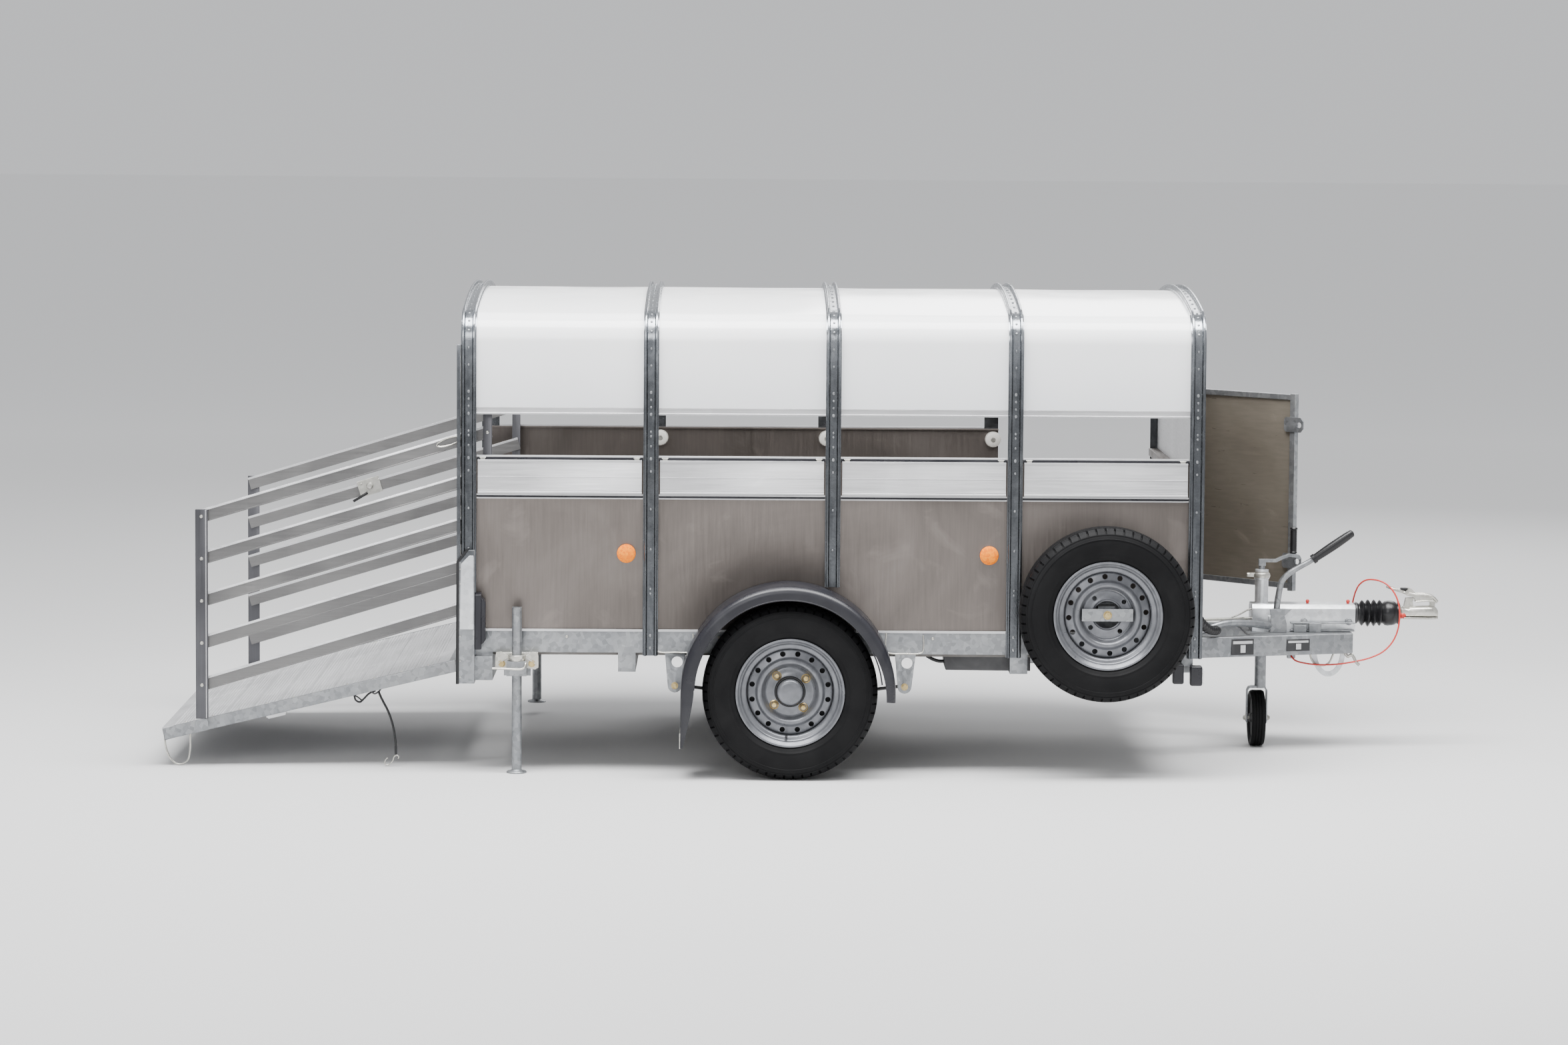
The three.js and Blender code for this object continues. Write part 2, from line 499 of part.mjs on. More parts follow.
function couplingHousing() {
  const low = BAR_TOP + GAP, chamfer = 14, half = 60;
  const section = [
    [-half, low], [half, low], [half, HOUSING_TOP - chamfer], [half - chamfer, HOUSING_TOP],
    [-half + chamfer, HOUSING_TOP], [-half, HOUSING_TOP - chamfer],
  ];
  return join([
    plateYZ(section, HOUSING_X0, HOUSING_X1),
    rod([JOCKEY_X, 0, 340], [JOCKEY_X, 0, 635], TUBE_R, 28),
    rod([JOCKEY_X, 0, 600], [JOCKEY_X, 0, 622], TUBE_R + 3, 28),
    box(LEVER_X - 26, LEVER_X + 30, -66, -59, 424, 474), // handbrake bracket
  ], [
    rod([1612, 0, SHAFT_Z], [HOUSING_X1 + 5, 0, SHAFT_Z], SHAFT_R + 0.6, 28),
    rod([JOCKEY_X, 0, 330], [JOCKEY_X, 0, 612], STEM_R + 0.6, 28),
  ]);
}
add("coupling_housing", couplingHousing(), galvanised);

// Draw shaft with the ball coupling on its end; the ball seats from below.
add("coupling_head", join([
  rod([1700, 0, SHAFT_Z], [2060, 0, SHAFT_Z], SHAFT_R, 28),
  box(2050, COUPLING_X, -30, 30, 466, 522),
  place(new THREE.SphereGeometry(38, 20, 12), COUPLING_X, 0, 494),
  rod([COUPLING_X, 0, COUPLING_MOUTH_Z], [COUPLING_X, 0, 494], 37.5, 20),
  box(2078, 2104, -14, 14, 520, 532),
], [
  place(new THREE.SphereGeometry(BALL_R, 20, 10), COUPLING_X, 0, 476),
  rod([COUPLING_X, 0, COUPLING_MOUTH_Z - 5], [COUPLING_X, 0, 476], BALL_R, 20),
  box(2000, 2200, -60, 60, 400, COUPLING_MOUTH_Z),
]), zinc);

function couplingHandle() {
  const ring = Array.from({ length: 20 }, (_, i) => {
    const angle = (2 * Math.PI * i) / 20;
    return [Math.cos(angle), Math.sin(angle)];
  });
  const oval = (a, b) => ring.map(([u, v]) => [2040 + a * u, b * v]);
  return join([
    plateXY(oval(36, 22), 553, 562, [oval(27, 13)]),
    box(2066, 2182, -16, 16, 538, 556),
    box(2150, 2184, -12, 12, 536, 545),
  ]);
}
add("coupling_handle", couplingHandle(), zinc);

// Ribbed gaiter between the housing and the head.
function gaiter() {
  const x0 = HOUSING_X1 + 0.5, x1 = 2049.5, ribs = 6, bore = SHAFT_R + 0.6;
  const pitch = (x1 - 40 - (x0 + 20)) / ribs;
  const waves = Array.from({ length: ribs }, (_, i) => [
    [36, x0 + 20 + i * pitch], [50 - i, x0 + 20 + (i + 0.5) * pitch],
  ]).flat();
  const profile = [[bore, x0], [37, x0], ...waves, [41, x1 - 40], [41, x1], [bore, x1], [bore, x0]];
  return place(surface(solid(lathe(profile, 22))).rotateZ(-Math.PI / 2), 0, 0, SHAFT_Z);
}
add("gaiter", gaiter(), blackRubber);

function handbrakeLever() {
  const at = ([x, z]) => [x, LEVER_Y, z];
  const bare = [[1598, 452], [1598, 500], [1608, 580], [1640, 625], [1708, 667], [1760, 702]].map(at);
  return join([
    rod([LEVER_X, LEVER_Y - 11, LEVER_Z], [LEVER_X, LEVER_Y + 11, LEVER_Z], 19, 24),
    tube(bare, 10, 10, 18),
    rod(at([1746, 692]), at([1861, 772]), 15, 16),
  ]);
}
add("handbrake_lever", handbrakeLever(), galvanised);

// ---------- jockey wheel ----------
add("jockey_stem", join([
  rod([JOCKEY_X, 0, 208], [JOCKEY_X, 0, 480], STEM_R, 28),
  box(1507, 1576, -16, 16, 204, 215),
  box(1507, 1512.5, -16, 16, 84, 210),
  box(1569.5, 1576, -16, 16, 84, 210),
]), galvanised);

const jockeyProfile = [
  [0, -27], [20, -27], [20, -18], [70, -12], [82, -25], [94, -25], [JOCKEY_WHEEL_R, -18], [JOCKEY_WHEEL_R, 18],
  [94, 25], [82, 25], [70, 12], [20, 18], [20, 27], [0, 27],
];
add("jockey_wheel", place(
  surface(solid(lathe(jockeyProfile, 28))).rotateZ(-Math.PI / 2), JOCKEY_WHEEL_X, 0, JOCKEY_WHEEL_R,
), tyreRubber);

add("jockey_crank", join([
  rod([JOCKEY_X, 0, 635 + GAP], [JOCKEY_X, 0, 658], 11, 16),
  box(1534, 1690, -14, 14, 656, 668),
  rod([1665, 0, 666], [1665, 0, 786], 13, 18),
]), galvanised);

// ---------- cords: the breakaway cable and the ramp's rubber strap with its hook ----------
const BREAKAWAY = [
  [1655, -71.4, 332], [1656, -79, 329], [1668, -87, 317], [1708, -92, 307], [1764, -94, 303], [1822, -94, 306],
  [1885, -90, 316],
  [1935, -84, 328], [1980, -76, 348], [2012, -70, 378], [2031, -66, 414], [2040, -62, 455], [2041, -58, 496],
  [2034, -52, 532], [2018, -42, 564], [1994, -26, 588], [1962, -4, 599], [1930, 20, 596], [1908, 42, 576],
  [1896, 58, 545], [1889, 68, 510], [1880, 74, 480], [1868, 76, 461],
  [1852, 75, 451], [1842, 70, 448], [1840, 61.4, 447],
];
add("breakaway_cable", tube(BREAKAWAY, 3, 8, 64), redSheath);

const STRAP = [
  [-1556, -662, 262], [-1549, -662, 244], [-1538, -662, 222], [-1526, -662, 199], [-1516, -662, 175],
  [-1508, -662, 149], [-1502, -662, 122], [-1498, -662, 94], [-1496, -662, 66], [-1496, -662, 42],
];
add("rubber_strap", tube(STRAP, 4, 8, 26), blackRubber);

const HOOK = [
  [-1489, -662, 27], [-1486, -662, 34], [-1493, -662, 39], [-1502, -662, 34], [-1506, -662, 22],
  [-1515, -662, 10], [-1526, -662, 5], [-1534, -662, 10], [-1532, -662, 22], [-1524, -662, 30],
];
add("strap_hook", tube(HOOK, 2.4, 8, 26), zinc);

export default trailer;
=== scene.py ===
"""Livestock trailer: its looks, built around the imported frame.

Shapes are given in millimetres, with X counted from the middle of the box body, +Y to the
trailer's left and Z from the ground. make() turns them into metres in the frame's own axes.
"""
import json
import math

import bmesh
import bpy
from mathutils import Matrix, Vector, noise
from mathutils.geometry import tessellate_polygon

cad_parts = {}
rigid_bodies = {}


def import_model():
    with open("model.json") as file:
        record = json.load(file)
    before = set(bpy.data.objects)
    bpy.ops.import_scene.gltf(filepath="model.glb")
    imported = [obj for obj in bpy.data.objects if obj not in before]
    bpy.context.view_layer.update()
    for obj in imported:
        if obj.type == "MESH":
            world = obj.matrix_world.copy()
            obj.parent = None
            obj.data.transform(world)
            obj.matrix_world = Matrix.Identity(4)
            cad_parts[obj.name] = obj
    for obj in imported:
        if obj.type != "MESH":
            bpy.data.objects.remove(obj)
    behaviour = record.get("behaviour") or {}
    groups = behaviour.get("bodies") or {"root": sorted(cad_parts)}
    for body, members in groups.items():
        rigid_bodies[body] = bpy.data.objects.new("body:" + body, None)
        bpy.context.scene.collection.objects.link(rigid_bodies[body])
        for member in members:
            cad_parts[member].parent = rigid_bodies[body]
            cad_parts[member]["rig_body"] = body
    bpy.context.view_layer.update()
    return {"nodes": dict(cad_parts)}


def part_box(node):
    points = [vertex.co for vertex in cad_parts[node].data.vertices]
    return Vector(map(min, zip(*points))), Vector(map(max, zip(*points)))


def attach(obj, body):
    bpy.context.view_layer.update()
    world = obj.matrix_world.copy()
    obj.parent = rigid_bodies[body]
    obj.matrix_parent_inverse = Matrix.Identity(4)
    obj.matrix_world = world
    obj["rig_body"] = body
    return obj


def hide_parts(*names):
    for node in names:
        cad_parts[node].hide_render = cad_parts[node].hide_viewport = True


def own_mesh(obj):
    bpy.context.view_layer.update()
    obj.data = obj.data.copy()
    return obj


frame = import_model()
MM = 0.001
BODY_X = sum(corner.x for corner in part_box("hoop_3")) / 2  # metres, the middle hoop
SIDES = (("right", -1), ("left", 1))


def metres(point):
    return (point[0] * MM + BODY_X, point[1] * MM, point[2] * MM)


# ---------- camera ----------
def add_camera():
    """A long lens on the trailer's right, slightly above the roof."""
    height, distance = 2.296, 16.69
    pitch, yaw, roll = math.radians(5.148), math.radians(-0.554), math.radians(0.4)
    data = bpy.data.cameras.new("camera")
    data.lens = 107.7
    data.clip_end = 200
    camera = bpy.data.objects.new("camera", data)
    bpy.context.scene.collection.objects.link(camera)
    aim = Matrix.Rotation(yaw, 4, "Z") @ Matrix.Rotation(math.pi / 2 - pitch, 4, "X")
    camera.matrix_world = (
        Matrix.Translation((BODY_X - 0.320, -distance, height)) @ aim @ Matrix.Rotation(roll, 4, "Z")
    )
    bpy.context.scene.camera = camera


# ---------- shapes ----------
class Shape:
    """Points and the faces between them."""

    def __init__(self, points=(), faces=()):
        self.points = [Vector(p) for p in points]
        self.faces = [list(f) for f in faces]

    def __add__(self, other):
        n = len(self.points)
        return Shape(self.points + other.points, self.faces + [[i + n for i in f] for f in other.faces])

    def moved(self, x=0, y=0, z=0):
        return Shape([p + Vector((x, y, z)) for p in self.points], self.faces)

    def turned(self, degrees, axis, about=(0, 0, 0)):
        turn, centre = Matrix.Rotation(math.radians(degrees), 3, axis), Vector(about)
        return Shape([centre + turn @ (p - centre) for p in self.points], self.faces)

    def side(self, side):
        """The shape itself on the left (side 1), mirrored on the right (side -1)."""
        return self if side > 0 else Shape([(p.x, -p.y, p.z) for p in self.points], self.faces)


def total(shapes):
    return sum(shapes, Shape())


def both(shape):
    """The shape on the right, then on the left."""
    return shape.side(-1) + shape.side(1)


def box(x0, x1, y0, y1, z0, z1):
    points = [(x, y, z) for x in (x0, x1) for y in (y0, y1) for z in (z0, z1)]
    faces = [(0, 1, 3, 2), (4, 6, 7, 5), (0, 4, 5, 1), (2, 3, 7, 6), (0, 2, 6, 4), (1, 5, 7, 3)]
    return Shape(points, faces)


def skin(rings, loop=False, caps=True, closed=True):
    """Quads between rings of equal length; loop joins the last ring to the first."""
    n, count = len(rings[0]), len(rings)
    faces = []
    for s in range(count if loop else count - 1):
        for i in range(n if closed else n - 1):
            a, b = s * n + i, s * n + (i + 1) % n
            c, d = ((s + 1) % count) * n + (i + 1) % n, ((s + 1) % count) * n + i
            faces.append((a, b, c, d))
    if caps and not loop:
        faces.append(tuple(range(n)))
        faces.append(tuple(range((count - 1) * n, count * n)))
    return Shape([p for ring in rings for p in ring], faces)


def lathe(profile, at=(0, 0, 0), axis="Y", steps=96, wave=None):
    """A turned shape. profile is [radius, height] pairs; a closed one repeats its first pair."""
    ring_closed = profile[0] == profile[-1]
    pairs = profile[:-1] if ring_closed else profile
    rings = []
    for s in range(steps):
        angle = 2 * math.pi * s / steps
        ring = []
        for r, h in pairs:
            if wave:
                r, h = wave(s, r, h)
            u, v = r * math.cos(angle), r * math.sin(angle)
            local = {"X": (h, u, v), "Y": (u, h, v), "Z": (u, v, h)}[axis]
            ring.append(Vector(at) + Vector(local))
        rings.append(ring)
    return skin(rings, loop=True, closed=ring_closed)


def rod(a, b, radius, sides=24, end_radius=None, edge=0.0):
    """A round bar from a to b, with a chamfer of edge at both ends."""
    a, b = Vector(a), Vector(b)
    along = (b - a).normalized()
    side = along.orthogonal().normalized()
    other = along.cross(side)
    end_radius = radius if end_radius is None else end_radius
    stops = [(0, radius - edge), (edge, radius), ((b - a).length - edge, end_radius),
             ((b - a).length, end_radius - edge)]
    if not edge:
        stops = [stops[0], stops[3]]
    rings = []
    for distance, r in stops:
        centre = a + along * distance
        rings.append([
            centre + r * (math.cos(t) * side + math.sin(t) * other)
            for t in (2 * math.pi * i / sides for i in range(sides))
        ])
    return skin(rings)


def smooth_path(points, steps):
    """A centripetal Catmull-Rom curve through points, as steps + 1 points."""
    points = [Vector(p) for p in points]
    ends = [2 * points[0] - points[1], *points, 2 * points[-1] - points[-2]]
    spans = len(points) - 1
    result = []
    for s in range(steps + 1):
        whole = min(int(s * spans / steps), spans - 1)
        t = s * spans / steps - whole
        p = ends[whole:whole + 4]
        knots = [0.0]
        for a, b in zip(p, p[1:]):
            knots.append(knots[-1] + max((b - a).length, 1e-6) ** 0.5)
        u = knots[1] + t * (knots[2] - knots[1])

        def lerp(a, b, i, j):
            return a * (knots[j] - u) / (knots[j] - knots[i]) + b * (u - knots[i]) / (knots[j] - knots[i])
        a1, a2, a3 = lerp(p[0], p[1], 0, 1), lerp(p[1], p[2], 1, 2), lerp(p[2], p[3], 2, 3)
        b1, b2 = lerp(a1, a2, 0, 2), lerp(a2, a3, 1, 3)
        result.append(lerp(b1, b2, 1, 2))
    return result


def sweep(section, path, up=(0, 0, 1), scale=None):
    """A flat section (u across, v along up) carried along path."""
    path = [Vector(p) for p in path]
    normal = Vector(up)
    rings = []
    for s, point in enumerate(path):
        along = (path[min(s + 1, len(path) - 1)] - path[max(s - 1, 0)]).normalized()
        normal = (normal - along * normal.dot(along)).normalized()
        across = along.cross(normal)
        k = scale(s / (len(path) - 1)) if scale else 1
        rings.append([point + k * (u * across + v * normal) for u, v in section])
    return skin(rings)


def circle(radius, sides=16, centre=(0, 0)):
    steps = (2 * math.pi * i / sides for i in range(sides))
    return [(centre[0] + radius * math.cos(t), centre[1] + radius * math.sin(t)) for t in steps]


def tube(points, radius, steps=48, sides=14, scale=None):
    path = smooth_path(points, steps)
    start = (path[1] - path[0]).normalized()
    return sweep(circle(radius, sides), path, start.orthogonal(), scale)


def plate(outline, low, high, axis="Y", holes=()):
    """A flat outline with holes, pulled along axis from low to high."""
    loops = [list(outline), *[list(h) for h in holes]]
    place = {
        "X": lambda u, v, d: (d, u, v),
        "Y": lambda u, v, d: (u, d, v),
        "Z": lambda u, v, d: (u, v, d),
    }[axis]
    flat = [(u, v) for loop in loops for u, v in loop]
    count = len(flat)
    points = [place(u, v, low) for u, v in flat] + [place(u, v, high) for u, v in flat]
    triangles = tessellate_polygon([[Vector((u, v, 0)) for u, v in loop] for loop in loops])
    faces = [tuple(t) for t in triangles] + [tuple(i + count for i in t) for t in triangles]
    start = 0
    for loop in loops:
        for i in range(len(loop)):
            a, b = start + i, start + (i + 1) % len(loop)
            faces.append((a, b, b + count, a + count))
        start += len(loop)
    return Shape(points, faces)


def outward(profile, at, axis, steps):
    """A turned shape on the surface at at; axis is the way out of it, as +Y or -Y."""
    sign = 1 if axis[0] == "+" else -1
    return lathe([(r, sign * h) for r, h in profile], at, axis[1], steps)


def dome(at, axis, radius, height):
    """A low round head."""
    profile = [(0, -1.0), (radius, -1.0), (radius, 0), (radius * 0.8, height * 0.7), (radius * 0.4, height),
               (0, height)]
    return outward(profile, at, axis, 14)


def bolt(at, axis, radius=8, height=6):
    """A hexagon head on a washer."""
    washer = [(0, -1.0), (radius * 1.35, -1.0), (radius * 1.35, 1.6), (0, 1.6)]
    head = [(0, 1.0), (radius, 1.0), (radius, height), (0, height)]
    return outward(washer, at, axis, 24) + outward(head, at, axis, 6)


# ---------- finishes ----------
class Finish:
    """A node material and the record's slot that it stands for."""

    def __init__(self, name, slot, base, roughness, metallic=0.0, **sockets):
        self.material = bpy.data.materials.new(name)
        self.material.use_nodes = True
        self.slot = slot
        self.tree = self.material.node_tree
        self.shader = self.tree.nodes["Principled BSDF"]
        self.shader.inputs["Base Color"].default_value = (*base, 1)
        self.shader.inputs["Roughness"].default_value = roughness
        self.shader.inputs["Metallic"].default_value = metallic
        for key, value in sockets.items():
            self.shader.inputs[key.replace("_", " ")].default_value = value
        self.place = self.tree.nodes.new("ShaderNodeTexCoord").outputs["Object"]

    def node(self, kind, **inputs):
        made = self.tree.nodes.new(kind)
        for key, value in inputs.items():
            if hasattr(value, "is_output"):
                self.tree.links.new(value, made.inputs[key])
            else:
                made.inputs[key].default_value = value
        return made

    def stretched(self, stretch):
        mapping = self.node("ShaderNodeMapping", Vector=self.place)
        mapping.inputs["Scale"].default_value = stretch
        return mapping.outputs["Vector"]

    def noise(self, scale, detail=5.0, stretch=(1, 1, 1), distortion=0.0):
        made = self.node("ShaderNodeTexNoise", Vector=self.stretched(stretch), Scale=scale, Detail=detail,
                         Distortion=distortion)
        return made.outputs["Fac"]

    def cells(self, scale, stretch=(1, 1, 1)):
        made = self.node("ShaderNodeTexVoronoi", Vector=self.stretched(stretch), Scale=scale)
        return self.node("ShaderNodeRGBToBW", Color=made.outputs["Color"]).outputs["Val"]

    def height(self, low, high):
        """0 at the height low and under it, 1 at high and over it, in metres."""
        upright = self.node("ShaderNodeSeparateXYZ", Vector=self.place).outputs["Z"]
        made = self.node("ShaderNodeMapRange", **{"Value": upright, "From Min": low, "From Max": high})
        return made.outputs["Result"]

    def ramp(self, fac, stops):
        made = self.tree.nodes.new("ShaderNodeValToRGB")
        self.tree.links.new(fac, made.inputs["Fac"])
        elements = made.color_ramp.elements
        while len(elements) < len(stops):
            elements.new(0.5)
        for element, (position, color) in zip(elements, stops):
            element.position = position
            element.color = (*color, 1) if hasattr(color, "__len__") else (color, color, color, 1)
        return made.outputs["Color"]

    def mix(self, fac, a, b, kind="MIX"):
        made = self.tree.nodes.new("ShaderNodeMix")
        made.data_type, made.blend_type = "RGBA", kind
        sockets = [made.inputs[0], made.inputs[6], made.inputs[7]]
        for socket, value in zip(sockets, (fac, a, b)):
            if hasattr(value, "is_output"):
                self.tree.links.new(value, socket)
            elif hasattr(value, "__len__"):
                socket.default_value = (*value, 1)
            else:
                socket.default_value = value
        return made.outputs[2]

    def scaled(self, socket, factor):
        made = self.tree.nodes.new("ShaderNodeMath")
        made.operation = "MULTIPLY"
        self.tree.links.new(socket, made.inputs[0])
        made.inputs[1].default_value = factor
        return made.outputs[0]

    def color(self, socket):
        self.tree.links.new(socket, self.shader.inputs["Base Color"])
        return self

    def rough(self, fac, low, high):
        self.tree.links.new(self.ramp(fac, [(0.3, low), (0.7, high)]), self.shader.inputs["Roughness"])
        return self

    def bump(self, height, distance, strength=1.0):
        made = self.node("ShaderNodeBump", Height=height, Strength=strength, Distance=distance)
        self.tree.links.new(made.outputs["Normal"], self.shader.inputs["Normal"])
        return self


def zinc_dip(name, slot, dark, light, rough, metallic=0.8, spangle=70, runs=(1, 1, 1), clouding=0.7):
    """Hot-dip galvanised steel: crystal patches, cloudy stains and a slightly lumpy coat."""
    f = Finish(name, slot, light, rough, metallic)
    crystals = f.ramp(f.cells(spangle, runs), [(0.1, dark), (0.9, light)])
    clouds = f.ramp(f.noise(5.0, 6.0, runs, 0.6), [(0.35, (0.7, 0.72, 0.75)), (0.65, (1, 1, 1))])
    f.color(f.mix(clouding, crystals, clouds, "MULTIPLY"))
    f.rough(f.noise(30.0, 3.0), rough - 0.08, rough + 0.12)
    return f.bump(f.noise(120.0, 4.0), 0.0006, 0.5)


def rolled_sheet(name, slot, dark, light, rough, metallic, stretch, smears=0.35):
    """Bare aluminium: rolling lines along one direction, cloudy handling marks and faint scratches."""
    f = Finish(name, slot, light, rough, metallic)
    clouds = f.ramp(f.noise(1.7, 5.0, distortion=1.2), [(0.3, dark), (0.7, light)])
    lines = f.ramp(f.noise(14.0, 4.0, stretch), [(0.35, (0.86, 0.86, 0.86)), (0.65, (1, 1, 1))])
    marks = f.ramp(f.noise(3.2, 9.0, distortion=2.5), [(0.6, (0, 0, 0)), (0.72, (1, 1, 1))])
    base = f.mix(0.6, clouds, lines, "MULTIPLY")
    pale = tuple(min(1, c * 1.35) for c in light)
    f.color(f.mix(f.scaled(marks, smears), base, pale))
    f.rough(f.noise(9.0, 6.0, stretch), rough - 0.07, rough + 0.1)
    return f.bump(f.noise(60.0, 3.0, stretch), 0.0002, 0.35)


def moulded(name, slot, base, rough, grain=180.0, depth=0.0003, dust=0.12, **sockets):
    """Plastic or rubber with a fine grain and a little settled dust."""
    f = Finish(name, slot, base, rough, 0.0, **sockets)
    dusty = tuple(c + (0.35 - c) * dust for c in base)
    f.color(f.ramp(f.noise(7.0, 7.0, distortion=0.8), [(0.4, base), (0.75, dusty)]))
    f.rough(f.noise(12.0, 4.0), rough - 0.06, rough + 0.1)
    return f.bump(f.noise(grain, 3.0), depth, 0.6)


def prismatic(name, slot, base, rough, dark, light, scale, depth, strength, **sockets):
    """A lamp lens or reflector with a pattern of small prisms."""
    f = Finish(name, slot, base, rough, 0.0, **sockets)
    f.color(f.ramp(f.cells(scale), [(0.2, dark), (0.8, light)]))
    return f.bump(f.cells(scale), depth, strength)


def make_finishes():
    finishes = {
        "galvanised": zinc_dip("galvanised_steel", "galvanised", (0.238, 0.245, 0.253), (0.357, 0.366, 0.374),
                               0.42),
        "dipped": zinc_dip("bright_galvanised", "galvanised", (0.66, 0.67, 0.68), (0.8, 0.81, 0.82), 0.36),
        "hoop": zinc_dip("hoop_steel", "hoop_steel", (0.108, 0.114, 0.122), (0.15, 0.158, 0.168), 0.2, 0.92,
                         40, (2.5, 2.5, 0.35), 0.45),
        "post": rolled_sheet("gate_post_aluminium", "galvanised", (0.075, 0.075, 0.082), (0.12, 0.12, 0.13),
                             0.36, 0.8, (16, 8, 0.4), 0.1),
        "panel": rolled_sheet("mill_aluminium", "mill_aluminium", (0.105, 0.091, 0.082), (0.18, 0.158, 0.145),
                              0.4, 0.6, (12, 1, 0.6)),
        "bright": rolled_sheet("bright_aluminium", "bright_aluminium", (0.56, 0.56, 0.57), (0.7, 0.7, 0.71),
                               0.34, 0.75, (0.5, 1, 14), 0.15),
        # A darker copy of the bright aluminium for the gate bars' faces: painted shade against their bright
        # top lips.
        "gate_bar": rolled_sheet("gate_bar_aluminium", "bright_aluminium", (0.148, 0.146, 0.146),
                                 (0.23, 0.227, 0.224), 0.34, 0.8, (0.5, 1, 16), 0.15),
        "deck": rolled_sheet("deck_aluminium", "deck_aluminium", (0.55, 0.55, 0.56), (0.74, 0.74, 0.75),
                             0.38, 0.7, (10, 0.4, 1), 0.4),
        "door": rolled_sheet("door_aluminium", "door_panel", (0.2, 0.175, 0.14), (0.28, 0.25, 0.205),
                             0.34, 0.5, (1, 1, 8)),
        "zinc": zinc_dip("zinc_plate", "zinc", (0.5, 0.49, 0.44), (0.68, 0.66, 0.6), 0.32, 0.85, 90),
        "brass_zinc": zinc_dip("yellow_zinc", "zinc", (0.45, 0.33, 0.14), (0.66, 0.52, 0.26), 0.35, 0.85, 90),
        "wheel": Finish("wheel_silver", "wheel_silver", (0.16, 0.165, 0.18), 0.32, 0.6),
        "tyre": moulded("tyre_rubber", "tyre_rubber", (0.003, 0.003, 0.0035), 0.6, 260.0, 0.0002, 0.01,
                        Specular_IOR_Level=0.14),
        "guard": moulded("black_plastic", "black_plastic", (0.01, 0.01, 0.014), 0.3, 90.0, 0.0001, 0.04,
                         Specular_IOR_Level=0.4),
        "rubber": moulded("black_rubber", "black_rubber", (0.006, 0.006, 0.007), 0.3, 150.0, 0.0002, 0.02,
                          Specular_IOR_Level=0.4),
        "spring": moulded("spring_paint", "spring_steel", (0.02, 0.02, 0.022), 0.45, 80.0, 0.0003, 0.15),
        "red": moulded("red_sheath", "red_sheath", (0.55, 0.03, 0.02), 0.35, 400.0, 0.0001, 0.02),
        "floor": moulded("floor_board", "floor_board", (0.13, 0.12, 0.11), 0.6, 40.0, 0.0005, 0.3),
    }
    # Painted highlight: the hoops' colour rises 2.3 times from 1.3 m to 1.5 m up, standing for the light the
    # upper bends catch; the rear frame posts share this finish and get it too.
    hoop = finishes["hoop"]
    hoop_zinc = hoop.shader.inputs["Base Color"].links[0].from_socket
    hoop.color(hoop.mix(hoop.height(1.3, 1.5), hoop_zinc, hoop.mix(1.0, hoop_zinc, (2.3, 2.3, 2.3), "MULTIPLY")))
    silver = finishes["wheel"]
    silver.color(silver.ramp(silver.noise(40.0, 6.0), [(0.35, (0.135, 0.14, 0.152)),
                                                       (0.65, (0.175, 0.18, 0.195))]))
    silver.rough(silver.noise(25.0, 4.0), 0.26, 0.4)
    silver.bump(silver.noise(500.0, 2.0), 0.0001, 0.4)
    roof = Finish("roof_plastic", "roof_plastic", (0.86, 0.87, 0.88), 0.22, 0.0)
    roof.shader.inputs["Subsurface Weight"].default_value = 0.15
    roof.shader.inputs["Subsurface Radius"].default_value = (0.02, 0.02, 0.02)
    weathering = roof.ramp(roof.noise(1.3, 4.0), [(0.3, (0.95, 0.96, 0.97)), (0.7, (1, 1, 1))])
    # Painted shade: the roof sheets darken towards the bottom, from 0.97 at 1.56 m up down to 0.76 at 1.25 m,
    # for the light falling off down their sides.
    fall = roof.ramp(roof.height(1.25, 1.56), [(0, (0.76, 0.77, 0.785)), (0.5, (0.9, 0.905, 0.915)),
                                               (1, (0.97, 0.97, 0.97))])
    roof.color(roof.mix(1.0, fall, weathering, "MULTIPLY"))
    roof.rough(roof.noise(4.0, 5.0), 0.1, 0.2)
    roof.bump(roof.noise(2.2, 2.0, (1, 1, 0.5)), 0.003, 0.4)
    finishes["roof"] = roof
    finishes["amber"] = prismatic("amber_lens", "black_plastic", (0.95, 0.24, 0.003), 0.45,
                                  (0.88, 0.19, 0.002), (1.0, 0.3, 0.01), 170.0, 0.0008, 0.4,
                                  Specular_IOR_Level=0.1)
    finishes["red_lens"] = prismatic("red_lens", "black_plastic", (0.5, 0.01, 0.01), 0.15,
                                     (0.36, 0.004, 0.004), (0.6, 0.02, 0.02), 150.0, 0.001, 0.6,
                                     Coat_Weight=0.6)
    finishes["white_lens"] = prismatic("white_lens", "roof_plastic", (0.82, 0.84, 0.84), 0.15,
                                       (0.72, 0.74, 0.75), (0.9, 0.9, 0.9), 160.0, 0.001, 0.5,
                                       Coat_Weight=0.6)
    finishes["nylon"] = moulded("roller_nylon", "roof_plastic", (0.78, 0.76, 0.7), 0.35, 120.0, 0.0002, 0.05)
    return finishes


FINISH = make_finishes()


# ---------- pieces ----------
SAME_POINT = 2e-6  # metres


def settle(mesh):
    """Merges doubled points, drops collapsed faces and turns every face outwards."""
    work = bmesh.new()
    work.from_mesh(mesh)
    bmesh.ops.remove_doubles(work, verts=work.verts, dist=SAME_POINT)
    bmesh.ops.dissolve_degenerate(work, edges=work.edges, dist=1e-6)
    bmesh.ops.recalc_face_normals(work, faces=work.faces)
    work.to_mesh(mesh)
    work.free()


